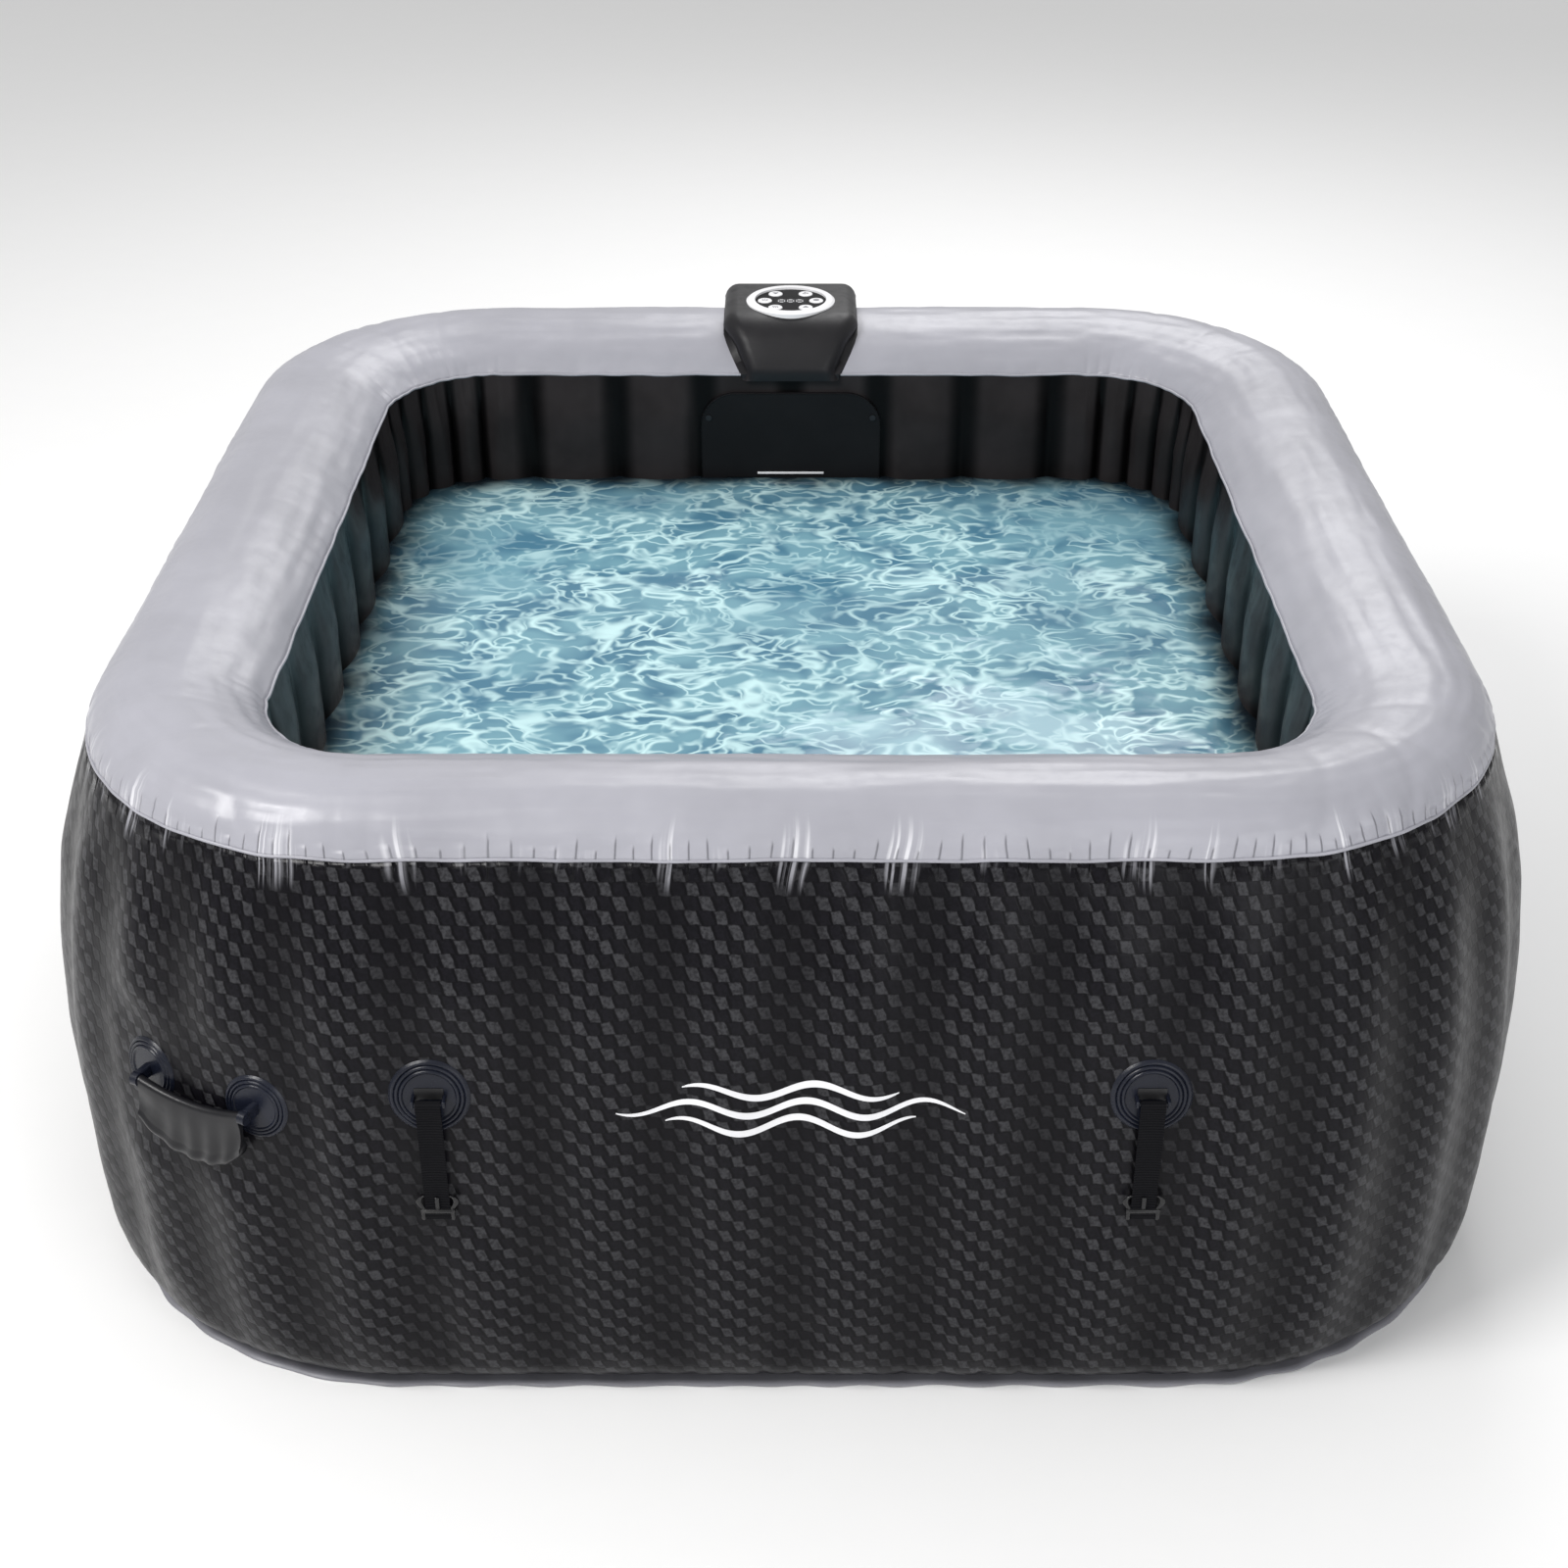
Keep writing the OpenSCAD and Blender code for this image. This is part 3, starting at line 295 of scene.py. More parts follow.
# ---- making and placing pieces -----------------------------------------------------

def settle(bm, name, body, finishes, stands_for=(), sharp=40, turn=True):
    """Closes the mesh, puts it in the scene, hangs it on the empty of the body it rides on and hides the pieces it
    stands for.
    """
    bmesh.ops.remove_doubles(bm, verts=bm.verts, dist=1e-6)
    if turn:
        bmesh.ops.recalc_face_normals(bm, faces=bm.faces)
    for face in bm.faces:
        face.smooth = True
    mesh = bpy.data.meshes.new(name)
    bm.to_mesh(mesh)
    bm.free()
    if sharp < SMOOTH:
        mesh.set_sharp_from_angle(angle=radians(sharp))
    for finish in finishes:
        mesh.materials.append(finish)
    piece = bpy.data.objects.new(name, mesh)
    bpy.context.scene.collection.objects.link(piece)
    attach(piece, body)
    if stands_for:
        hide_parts(*stands_for)
    return piece


def outline(bm, points):
    verts = [bm.verts.new(p) for p in points]
    edges = [bm.edges.new(pair) for pair in zip(verts, verts[1:] + verts[:1])]
    return verts, edges


def sweep(bm, points, step, steps):
    """A flat outline carried straight along, with both ends closed."""
    verts, edges = outline(bm, points)
    bm.faces.new(verts)
    spun = bmesh.ops.spin(bm, geom=verts + edges, cent=(0, 0, 0), axis=(0, 0, 1), dvec=step, angle=0.0,
                          steps=steps, use_merge=False, use_duplicate=False)
    last = [g for g in spun["geom_last"] if isinstance(g, bmesh.types.BMEdge)]
    bmesh.ops.contextual_create(bm, geom=last)


def draw_out(bm, faces, step, keep=True):
    """Faces drawn out by a step. Returns everything new, and the new vertices alone."""
    grown = bmesh.ops.extrude_face_region(bm, geom=faces, use_keep_orig=keep)["geom"]
    moved = [g for g in grown if isinstance(g, bmesh.types.BMVert)]
    bmesh.ops.translate(bm, vec=step, verts=moved)
    return grown, moved


def carry_round(shell, section, steps, shape, inner_from=0.0):
    """A closed section carried once round the plan. shape(s, u, z) gives the finished s and z. The wrap
    coordinates are u and z, with INNER_LIFT added to z inside inner_from."""
    bm = bmesh.new()
    count = len(section)
    step = shell.length / steps
    bmesh.ops.create_grid(bm, x_segments=steps, y_segments=count, size=0.5)
    for v in bm.verts:
        s, z = section[round((v.co.y + 0.5) * count) % count]
        v.co = (s, round((v.co.x + 0.5) * steps) * step, z)
    wrap = bm.loops.layers.uv.new("Wrap")
    for face in bm.faces:
        for corner in face.loops:
            lift = INNER_LIFT if corner.vert.co.x < inner_from else 0.0
            corner[wrap].uv = (corner.vert.co.y, corner.vert.co.z + lift)
    for v in bm.verts:
        u = round(v.co.y / step) * step
        s, z = shape(v.co.x, u, v.co.z)
        x, y = shell.plan(u % shell.length, s)
        v.co = (x, y, z)
    return bm


def turned(bm, profile, steps=56):
    """A profile of (radius, height) pairs turned about Z into a closed shape. Returns its vertices."""
    before = set(bm.verts)
    verts = [bm.verts.new((r, 0.0, h)) for r, h in profile]
    edges = [bm.edges.new(pair) for pair in zip(verts, verts[1:])]
    bmesh.ops.spin(bm, geom=verts + edges, cent=(0, 0, 0), axis=(0, 0, 1), dvec=(0, 0, 0), angle=2 * pi,
                   steps=steps, use_merge=True, use_duplicate=False)
    made = [v for v in bm.verts if v not in before]
    bmesh.ops.remove_doubles(bm, verts=made, dist=1e-6)
    return [v for v in bm.verts if v not in before]


def rounded_block(bm, size, centre, radius, segments=3, turn=None):
    """A block with rounded edges. Returns its vertices."""
    before = set(bm.verts)
    made = bmesh.ops.create_cube(bm, size=1.0, matrix=Matrix.Diagonal((*size, 1.0)))["verts"]
    edges = {e for v in made for e in v.link_edges}
    bmesh.ops.bevel(bm, geom=list(edges), offset=radius, offset_type="OFFSET", segments=segments, profile=0.5,
                    affect="EDGES", material=-1)
    verts = [v for v in bm.verts if v not in before]
    place = Matrix.Translation(centre) @ (turn if turn else Matrix.Identity(4))
    bmesh.ops.transform(bm, matrix=place, verts=verts)
    return verts


def rounded_outline(width, height, radius, count=8):
    points = []
    for cx, cy, start in ((1, 1, 0), (-1, 1, 90), (-1, -1, 180), (1, -1, 270)):
        points += arc(cx * (width / 2 - radius), cy * (height / 2 - radius), radius, radians(start),
                      radians(start + 90), count)
    return points


def rod(bm, start, end, radius, segments=20):
    """A round bar between two points, with softened ends."""
    start, end = Vector(start), Vector(end)
    along = end - start
    before = set(bm.verts)
    bmesh.ops.create_cone(bm, cap_ends=True, cap_tris=False, segments=segments, radius1=radius, radius2=radius,
                          depth=along.length)
    verts = [v for v in bm.verts if v not in before]
    turn = along.to_track_quat("Z", "Y").to_matrix().to_4x4()
    bmesh.ops.transform(bm, matrix=Matrix.Translation((start + end) / 2) @ turn, verts=verts)
    return verts


def side_frame(shell, u):
    """The place on the plan at u, with X outward and Y along the wall."""
    x0, y0 = shell.plan(u, 0.0)
    x1, y1 = shell.plan(u, 1.0)
    a = atan2(y1 - y0, x1 - x0)
    return Matrix.Translation((x0, y0, 0)) @ Matrix.Rotation(a, 4, "Z")


def lay_on_wall(shell, verts, u, z, out=0.0):
    """Lays a flat shape on the wall: its X runs along the wall, its Y up and its Z outward."""
    for v in verts:
        v.co = shell.on_wall(u + v.co.x, z + v.co.y, v.co.z + out)


def hang(shell, node):
    """The box of a piece on the wall and its place along the wall."""
    low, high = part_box(node)
    middle = (low + high) / 2
    return low, high, shell.unplan(middle.x, middle.y)


# ---- finishes ----------------------------------------------------------------------

FINISHES = {}


def value(tree, operation, a, b=None, c=None):
    node = tree.nodes.new("ShaderNodeMath")
    node.operation = operation
    for i, given in enumerate((a, b, c)):
        if given is None:
            continue
        if isinstance(given, (int, float)):
            node.inputs[i].default_value = given
        else:
            tree.links.new(given, node.inputs[i])
    return node.outputs[0]


def blend_colour(tree, factor, a, b):
    node = tree.nodes.new("ShaderNodeMix")
    node.data_type = "RGBA"
    for socket, given in ((node.inputs[0], factor), (node.inputs[6], a), (node.inputs[7], b)):
        if isinstance(given, (int, float)):
            socket.default_value = given
        elif isinstance(given, tuple):
            socket.default_value = (*given[:3], 1.0)
        else:
            tree.links.new(given, socket)
    return node.outputs[2]


def ramp(tree, factor, low, high):
    node = tree.nodes.new("ShaderNodeMapRange")
    node.interpolation_type = "SMOOTHSTEP"
    node.inputs["From Min"].default_value = low
    node.inputs["From Max"].default_value = high
    tree.links.new(factor, node.inputs["Value"])
    return node.outputs["Result"]


def stretched(tree, coords, stretch):
    if not stretch:
        return coords
    mapping = tree.nodes.new("ShaderNodeMapping")
    mapping.inputs["Scale"].default_value = stretch
    tree.links.new(coords, mapping.inputs["Vector"])
    return mapping.outputs[0]


def noise_of(tree, coords, scale, detail=3.0, rough=0.55, stretch=None):
    coords = stretched(tree, coords, stretch)
    node = tree.nodes.new("ShaderNodeTexNoise")
    node.inputs["Detail"].default_value = detail
    node.inputs["Roughness"].default_value = rough
    if isinstance(scale, (int, float)):
        node.inputs["Scale"].default_value = scale
    else:
        tree.links.new(scale, node.inputs["Scale"])
    tree.links.new(coords, node.inputs["Vector"])
    return node.outputs["Fac"]


def line_noise(tree, place, scale):
    """Noise along a line."""
    node = tree.nodes.new("ShaderNodeTexNoise")
    node.noise_dimensions = "1D"
    node.inputs["Scale"].default_value = scale
    tree.links.new(place, node.inputs["W"])
    return node.outputs["Fac"]


def surface_group():
    """Colour mottling, worn roughness and fine grain, shared by most finishes."""
    name = "Vinyl and plastic surface"
    if name in bpy.data.node_groups:
        return bpy.data.node_groups[name]
    group = bpy.data.node_groups.new(name, "ShaderNodeTree")
    for label, kind, default in (("Coordinates", "NodeSocketVector", None), ("Colour", "NodeSocketColor", None),
                                 ("Shade", "NodeSocketColor", None), ("Mottle scale", "NodeSocketFloat", 14.0),
                                 ("Smooth", "NodeSocketFloat", 0.3), ("Worn", "NodeSocketFloat", 0.45),
                                 ("Grain scale", "NodeSocketFloat", 900.0)):
        socket = group.interface.new_socket(name=label, in_out="INPUT", socket_type=kind)
        if default is not None:
            socket.default_value = default
    for label, kind in (("Colour", "NodeSocketColor"), ("Roughness", "NodeSocketFloat"),
                        ("Height", "NodeSocketFloat")):
        group.interface.new_socket(name=label, in_out="OUTPUT", socket_type=kind)
    given = group.nodes.new("NodeGroupInput")
    result = group.nodes.new("NodeGroupOutput")
    coords = given.outputs["Coordinates"]
    cloud = noise_of(group, coords, given.outputs["Mottle scale"], 4.0)
    group.links.new(blend_colour(group, ramp(group, cloud, 0.3, 0.72), given.outputs["Colour"],
                                 given.outputs["Shade"]), result.inputs["Colour"])
    scuff = ramp(group, noise_of(group, coords, 55.0, 6.0, 0.7), 0.42, 0.75)
    spread = value(group, "SUBTRACT", given.outputs["Worn"], given.outputs["Smooth"])
    group.links.new(value(group, "MULTIPLY_ADD", spread, scuff, given.outputs["Smooth"]),
                    result.inputs["Roughness"])
    group.links.new(noise_of(group, coords, given.outputs["Grain scale"], 2.0), result.inputs["Height"])
    return group


def wrap_split(tree):
    """A piece's wrap coordinates: the distance along the wall and the height. On the water, the first is the
    distance from the wall."""
    wrap = tree.nodes.new("ShaderNodeUVMap")
    wrap.uv_map = "Wrap"
    split = tree.nodes.new("ShaderNodeSeparateXYZ")
    tree.links.new(wrap.outputs[0], split.inputs[0])
    return split.outputs[0], split.outputs[1]


def beam_wave(tree, shell, along):
    """1 at a beam and -1 at the middle of a roll."""
    return value(tree, "COSINE", value(tree, "MULTIPLY", along, 2 * pi * shell.p.lobes / shell.length))


def start_finish(name):
    finish = bpy.data.materials.new(name)
    finish.use_nodes = True
    tree = finish.node_tree
    tree.nodes.clear()
    end = tree.nodes.new("ShaderNodeOutputMaterial")
    shader = tree.nodes.new("ShaderNodeBsdfPrincipled")
    tree.links.new(shader.outputs[0], end.inputs[0])
    coords = tree.nodes.new("ShaderNodeTexCoord").outputs["Object"]
    FINISHES[name] = finish
    return finish, tree, shader, coords


def bump(tree, shader, height, distance, strength=1.0):
    node = tree.nodes.new("ShaderNodeBump")
    node.inputs["Distance"].default_value = distance
    node.inputs["Strength"].default_value = strength
    tree.links.new(height, node.inputs["Height"])
    tree.links.new(node.outputs[0], shader.inputs["Normal"])
    return node


def dress(tree, shader, colour, rough):
    tree.links.new(colour, shader.inputs["Base Color"])
    tree.links.new(rough, shader.inputs["Roughness"])


def surface(tree, coords, colour, shade, smooth, worn, mottle=14.0, grain=900.0):
    node = tree.nodes.new("ShaderNodeGroup")
    node.node_tree = surface_group()
    tree.links.new(coords, node.inputs["Coordinates"])
    for label, given in (("Colour", colour), ("Shade", shade)):
        if isinstance(given, tuple):
            node.inputs[label].default_value = (*given, 1.0)
        else:
            tree.links.new(given, node.inputs[label])
    node.inputs["Mottle scale"].default_value = mottle
    node.inputs["Smooth"].default_value = smooth
    node.inputs["Worn"].default_value = worn
    node.inputs["Grain scale"].default_value = grain
    return node


def plain_finish(name, colour, smooth=0.3, worn=0.42, shade=0.82, grain=900.0, depth=0.00008, metal=0.0,
                 coat=0.0, mottle=14.0, stretch=None, specular=0.5):
    """A moulded, painted or brushed finish with mottling, wear and grain."""
    if name in FINISHES:
        return FINISHES[name]
    finish, tree, shader, coords = start_finish(name)
    coords = stretched(tree, coords, stretch)
    node = surface(tree, coords, tuple(colour), tuple(c * shade for c in colour), smooth, worn, mottle, grain)
    dress(tree, shader, node.outputs["Colour"], node.outputs["Roughness"])
    bump(tree, shader, node.outputs["Height"], depth)
    shader.inputs["Metallic"].default_value = metal
    shader.inputs["Coat Weight"].default_value = coat
    shader.inputs["Coat Roughness"].default_value = 0.12
    shader.inputs["Specular IOR Level"].default_value = specular
    return finish


def pleat_group():
    """Fine slanting pleats that stand against a seam: their height, the painted shade in their folds, where they
    reach and painted highlights running down from the seam.
    """
    name = "Seam pleats"
    if name in bpy.data.node_groups:
        return bpy.data.node_groups[name]
    group = bpy.data.node_groups.new(name, "ShaderNodeTree")
    for label, kind in (("Coordinates", "NodeSocketVector"), ("Phase", "NodeSocketFloat"),
                        ("From seam", "NodeSocketFloat"), ("Shortest", "NodeSocketFloat"),
                        ("Longest", "NodeSocketFloat")):
        group.interface.new_socket(name=label, in_out="INPUT", socket_type=kind)
    for label in ("Height", "Fold shade", "Reach", "Glint"):
        group.interface.new_socket(name=label, in_out="OUTPUT", socket_type="NodeSocketFloat")
    given = group.nodes.new("NodeGroupInput")
    result = group.nodes.new("NodeGroupOutput")
    sway = value(group, "SUBTRACT", noise_of(group, given.outputs["Coordinates"], 3.0, 1.0), 0.5)
    lean = value(group, "SUBTRACT", noise_of(group, given.outputs["Coordinates"], 9.0, 1.0), 0.5)
    slant = value(group, "MULTIPLY", value(group, "MULTIPLY", lean, 45.0), given.outputs["From seam"])
    phase = value(group, "ADD", value(group, "MULTIPLY_ADD", sway, 5.0, given.outputs["Phase"]), slant)
    along = value(group, "FRACT", phase)
    pick = group.nodes.new("ShaderNodeTexWhiteNoise")
    pick.noise_dimensions = "1D"
    group.links.new(value(group, "FLOOR", phase), pick.inputs["W"])
    spread = value(group, "SUBTRACT", given.outputs["Longest"], given.outputs["Shortest"])
    size = value(group, "MULTIPLY_ADD", spread, pick.outputs["Value"], given.outputs["Shortest"])
    share = value(group, "DIVIDE", given.outputs["From seam"], size)
    reach = value(group, "SUBTRACT", 1.0, ramp(group, share, 0.55, 1.0))
    # Each pleat rises slowly and drops at once, rounder as it dies away.
    climb = value(group, "POWER", along, 1.4)
    drop = value(group, "SUBTRACT", 1.0, ramp(group, along, 0.86, 1.0))
    height = value(group, "MULTIPLY", value(group, "MULTIPLY", climb, drop), reach)
    # Painted shade: a dark line where each pleat drops.
    fold = value(group, "MULTIPLY", value(group, "MULTIPLY", ramp(group, along, 0.80, 0.93), drop), reach)
    # Painted highlights: bright threads run down from the seam in bunches.
    glint_bunches = ramp(group, line_noise(group, phase, 0.36), 0.52, 0.66)
    bright = ramp(group, line_noise(group, phase, 3.4), 0.44, 0.66)
    far = value(group, "MULTIPLY_ADD", glint_bunches, given.outputs["Longest"], given.outputs["Shortest"])
    part = value(group, "DIVIDE", given.outputs["From seam"], far)
    taper = value(group, "SUBTRACT", 1.0, ramp(group, part, 0.25, 1.0))
    glint = value(group, "MULTIPLY", value(group, "MULTIPLY", glint_bunches, bright), taper)
    for label, output in (("Height", height), ("Fold shade", fold), ("Reach", reach), ("Glint", glint)):
        group.links.new(output, result.inputs[label])
    return group


def pleats(tree, shell, coords, shortest, longest):
    """The pleats at the height of the rim's seams, on a piece's own wrap coordinates."""
    along, height_up = wrap_split(tree)
    node = tree.nodes.new("ShaderNodeGroup")
    node.node_tree = pleat_group()
    tree.links.new(coords, node.inputs["Coordinates"])
    tree.links.new(value(tree, "MULTIPLY", along, shell.p.pleats / shell.length), node.inputs["Phase"])
    gap = value(tree, "ABSOLUTE", value(tree, "SUBTRACT", height_up, shell.seam_z))
    tree.links.new(gap, node.inputs["From seam"])
    node.inputs["Shortest"].default_value = shortest
    node.inputs["Longest"].default_value = longest
    return node


def woven_finish(shell):
    """The printed basket weave of the outer wall, on the wall's own wrap coordinates."""
    if "Woven print vinyl" in FINISHES:
        return FINISHES["Woven print vinyl"]
    c = tub().colours
    finish, tree, shader, coords = start_finish("Woven print vinyl")
    along, height_up = wrap_split(tree)
    columns = 2 * round(shell.length / shell.p.weave_width / 2)
    uneven = value(tree, "SUBTRACT", noise_of(tree, coords, 90.0, 2.0), 0.5)
    across = value(tree, "MULTIPLY_ADD", along, columns / shell.length, value(tree, "MULTIPLY", uneven, 0.5))
    up = value(tree, "MULTIPLY_ADD", height_up, 1 / shell.p.weave_height,
               value(tree, "MULTIPLY", uneven, -0.4))
    row = value(tree, "FLOOR", up)
    in_row = value(tree, "FRACT", up)
    lean = value(tree, "MULTIPLY_ADD", in_row, 0.34, across)
    column = value(tree, "FLOOR", lean)
    in_column = value(tree, "FRACT", lean)
    odd = value(tree, "FRACT", value(tree, "MULTIPLY", value(tree, "ADD", row, column), 0.5))
    light = value(tree, "GREATER_THAN", odd, 0.25)
    gap = ramp(tree, in_column, 0.74, 0.84)
    left_edge = ramp(tree, value(tree, "MULTIPLY", in_column, -1.0), -0.10, 0.0)
    ends = value(tree, "MAXIMUM", ramp(tree, in_row, 0.90, 0.99),
                 ramp(tree, value(tree, "MULTIPLY", in_row, -1.0), -0.08, 0.0))
    cell = blend_colour(tree, light, tuple(c.weave_mid), tuple(c.weave_light))
    fleck = ramp(tree, noise_of(tree, coords, 300.0, 3.0), 0.38, 0.66)
    cell = blend_colour(tree, value(tree, "MULTIPLY", fleck, 0.6), cell, tuple(c.weave_dark))
    edge = value(tree, "MAXIMUM", gap, value(tree, "MAXIMUM", value(tree, "MULTIPLY", left_edge, 0.6),
                                             value(tree, "MULTIPLY", ends, 0.75)))
    printed = blend_colour(tree, edge, cell, tuple(c.weave_dark))
    node = surface(tree, coords, printed, printed, 0.30, 0.42, 9.0, 1400.0)
    tucks = pleats(tree, shell, coords, 0.006, 0.028)
    # Painted shade: the weave darkens towards each beam, in the troughs between the rolls.
    painted_crease_shade = value(tree, "MULTIPLY", ramp(tree, beam_wave(tree, shell, along), -0.5, 1.0), 0.55)
    colour = blend_colour(tree, painted_crease_shade, node.outputs["Colour"], tuple(c.weave_dark))
    # Painted shade in the folds of the pleats.
    colour = blend_colour(tree, value(tree, "MULTIPLY", tucks.outputs["Fold shade"], 0.7), colour, (0.003, 0.003, 0.004))
    # Painted highlights: bright threads below the seam.
    colour = blend_colour(tree, value(tree, "MULTIPLY", tucks.outputs["Glint"], 0.8), colour, (0.32, 0.32, 0.35))
    shader.inputs["Specular IOR Level"].default_value = 0.12
    rough = value(tree, "MULTIPLY_ADD", tucks.outputs["Reach"], -0.12, node.outputs["Roughness"])
    dress(tree, shader, colour, rough)
    raised = value(tree, "SUBTRACT", value(tree, "MULTIPLY_ADD", light, 0.5, 0.5), edge)
    soft = noise_of(tree, coords, 20.0, 2.0)
    height = value(tree, "MULTIPLY_ADD", raised, 0.12, value(tree, "MULTIPLY", soft, 1.2))
    height = value(tree, "MULTIPLY_ADD", tucks.outputs["Height"], 2.4, height)
    bump(tree, shader, height, 0.0008)
    return finish


def rim_finish(shell):
    """Light satin vinyl, pleated at the outer seam, with painted shade in the pleats' folds and painted highlights
    in bright threads running from the seam.
    """
    if "Rim vinyl" in FINISHES:
        return FINISHES["Rim vinyl"]
    colour = tuple(tub().colours.rim)
    finish, tree, shader, coords = start_finish("Rim vinyl")
    node = surface(tree, coords, colour, tuple(v * 0.88 for v in colour), 0.34, 0.46, 7.0, 1100.0)
    crease = noise_of(tree, coords, 26.0, 2.0)
    soft = noise_of(tree, coords, 11.0, 2.0)
    tucks = pleats(tree, shell, coords, 0.010, 0.030)
    # Painted shade in the folds of the pleats: the rim's colour darkened.
    dark = tuple(v * 0.45 for v in colour)
    shaded = blend_colour(tree, value(tree, "MULTIPLY", tucks.outputs["Fold shade"], 0.32), node.outputs["Colour"], dark)
    # Painted highlights: bright threads running from the seam.
    shaded = blend_colour(tree, value(tree, "MULTIPLY", tucks.outputs["Glint"], 0.8), shaded, (0.68, 0.68, 0.71))
    dress(tree, shader, shaded, node.outputs["Roughness"])
    height = value(tree, "ADD", value(tree, "MULTIPLY", crease, 0.5), value(tree, "MULTIPLY", soft, 2.2))
    height = value(tree, "MULTIPLY_ADD", node.outputs["Height"], 0.05, height)
    height = value(tree, "MULTIPLY_ADD", tucks.outputs["Height"], 2.2, height)
    bump(tree, shader, height, 0.0011)
    return finish


def inner_finish(shell):
    """Near-black vinyl of the inner wall, with painted shade in the creases between the rolls."""
    if "Inner vinyl" in FINISHES:
        return FINISHES["Inner vinyl"]
    colour = tuple(tub().colours.inner)
    finish, tree, shader, coords = start_finish("Inner vinyl")
    node = surface(tree, coords, colour, tuple(v * 0.6 for v in colour), 0.30, 0.44, 10.0, 1300.0)
    along = wrap_split(tree)[0]
    # Painted shade: near-black towards each beam, in the creases between the rolls.
    painted_crease_shade = value(tree, "MULTIPLY", ramp(tree, beam_wave(tree, shell, along), 0.1, 1.0), 0.92)
    shaded = blend_colour(tree, painted_crease_shade, node.outputs["Colour"], (0.0006, 0.0006, 0.0007))
    dress(tree, shader, shaded, node.outputs["Roughness"])
    fold = noise_of(tree, coords, 1.0, 2.0, 0.5, (22.0, 22.0, 5.0))
    bump(tree, shader, value(tree, "MULTIPLY_ADD", node.outputs["Height"], 0.08, fold), 0.0008)
    shader.inputs["Specular IOR Level"].default_value = 0.10
    return finish


def webbing_finish():
    """Black webbing with cross ribs and a selvedge."""
    if "Ribbed webbing" in FINISHES:
        return FINISHES["Ribbed webbing"]
    finish, tree, shader, coords = start_finish("Ribbed webbing")
    split = tree.nodes.new("ShaderNodeSeparateXYZ")
    tree.links.new(coords, split.inputs[0])
    rib = value(tree, "SINE", value(tree, "MULTIPLY", split.outputs[2], 2 * pi / 0.0031))
    yarn = noise_of(tree, coords, 1.0, 2.0, 0.5, (900.0, 900.0, 300.0))
    colour = blend_colour(tree, value(tree, "MULTIPLY_ADD", rib, 0.4, 0.5), (0.0025, 0.0025, 0.0035),
                          (0.0085, 0.0085, 0.0100))
    dress(tree, shader, colour, value(tree, "MULTIPLY_ADD", yarn, 0.2, 0.5))
    shader.inputs["Specular IOR Level"].default_value = 0.05
    height = value(tree, "MULTIPLY_ADD", yarn, 0.5, rib)
    bump(tree, shader, height, 0.00028)
    return finish


def water_finish():
    """Pool water in three tones, the palest of them painted caustic light in broken lines as if lit from above, with
    painted shade that darkens it towards the walls.
    """
    if "Pool water" in FINISHES:
        return FINISHES["Pool water"]
    c = tub().colours
    finish, tree, shader, coords = start_finish("Pool water")
    warp = tree.nodes.new("ShaderNodeTexNoise")
    warp.inputs["Scale"].default_value = 9.0
    warp.inputs["Detail"].default_value = 3.0
    tree.links.new(coords, warp.inputs["Vector"])
    moved = tree.nodes.new("ShaderNodeVectorMath")
    moved.operation = "MULTIPLY_ADD"
    moved.inputs[1].default_value = (0.09, 0.075, 0.0)
    tree.links.new(warp.outputs["Color"], moved.inputs[0])
    tree.links.new(coords, moved.inputs[2])
    caustic_lines = []
    # Painted caustic light: bright broken lines from two sizes of noise.
    for scale, stretch in ((19.0, (0.85, 1.2, 1.0)), (38.0, (0.85, 1.15, 1.0))):
        wave = noise_of(tree, moved.outputs[0], scale, 1.0, 0.5, stretch)
        crest = value(tree, "ABSOLUTE", value(tree, "SUBTRACT", wave, 0.5))
        caustic_lines.append(value(tree, "SUBTRACT", 1.0, ramp(tree, crest, 0.0, 0.070)))
    patchy = ramp(tree, noise_of(tree, coords, 4.0, 2.0), 0.30, 0.56)
    broken = ramp(tree, noise_of(tree, moved.outputs[0], 24.0, 2.0), 0.30, 0.52)
    caustic_net = value(tree, "MAXIMUM", caustic_lines[0], value(tree, "MULTIPLY", caustic_lines[1], 0.8))
    light = value(tree, "MULTIPLY", value(tree, "MULTIPLY", caustic_net, broken),
                  value(tree, "MULTIPLY_ADD", patchy, 0.7, 0.3))
    middle = ramp(tree, noise_of(tree, moved.outputs[0], 11.0, 2.0), 0.36, 0.60)
    tone = blend_colour(tree, middle, tuple(c.water_deep), tuple(c.water_mid))
    lit = blend_colour(tree, light, tone, tuple(c.water_caustic_light))
    # Painted shade: the water darkens to near-black towards the walls.
    from_wall = wrap_split(tree)[0]
    wavy = value(tree, "MULTIPLY_ADD", noise_of(tree, coords, 12.0, 2.0), 0.06, from_wall)
    depth = ramp(tree, wavy, 0.030, 0.095)
    tree.links.new(blend_colour(tree, depth, (0.006, 0.010, 0.014), lit), shader.inputs["Base Color"])
    shader.inputs["Roughness"].default_value = 0.08
    shader.inputs["IOR"].default_value = 1.33
    shader.inputs["Specular IOR Level"].default_value = 0.3
    bump(tree, shader, noise_of(tree, moved.outputs[0], 16.0, 2.0), 0.002, 0.5)
    return finish


def pleated_finish():
    """White filter paper in fine pleats."""
    if "Filter paper" in FINISHES:
        return FINISHES["Filter paper"]
    finish, tree, shader, coords = start_finish("Filter paper")
    node = surface(tree, coords, (0.74, 0.75, 0.78), (0.62, 0.64, 0.66), 0.75, 0.9, 30.0, 2200.0)
    dress(tree, shader, node.outputs["Colour"], node.outputs["Roughness"])
    bump(tree, shader, node.outputs["Height"], 0.0004)
    return finish


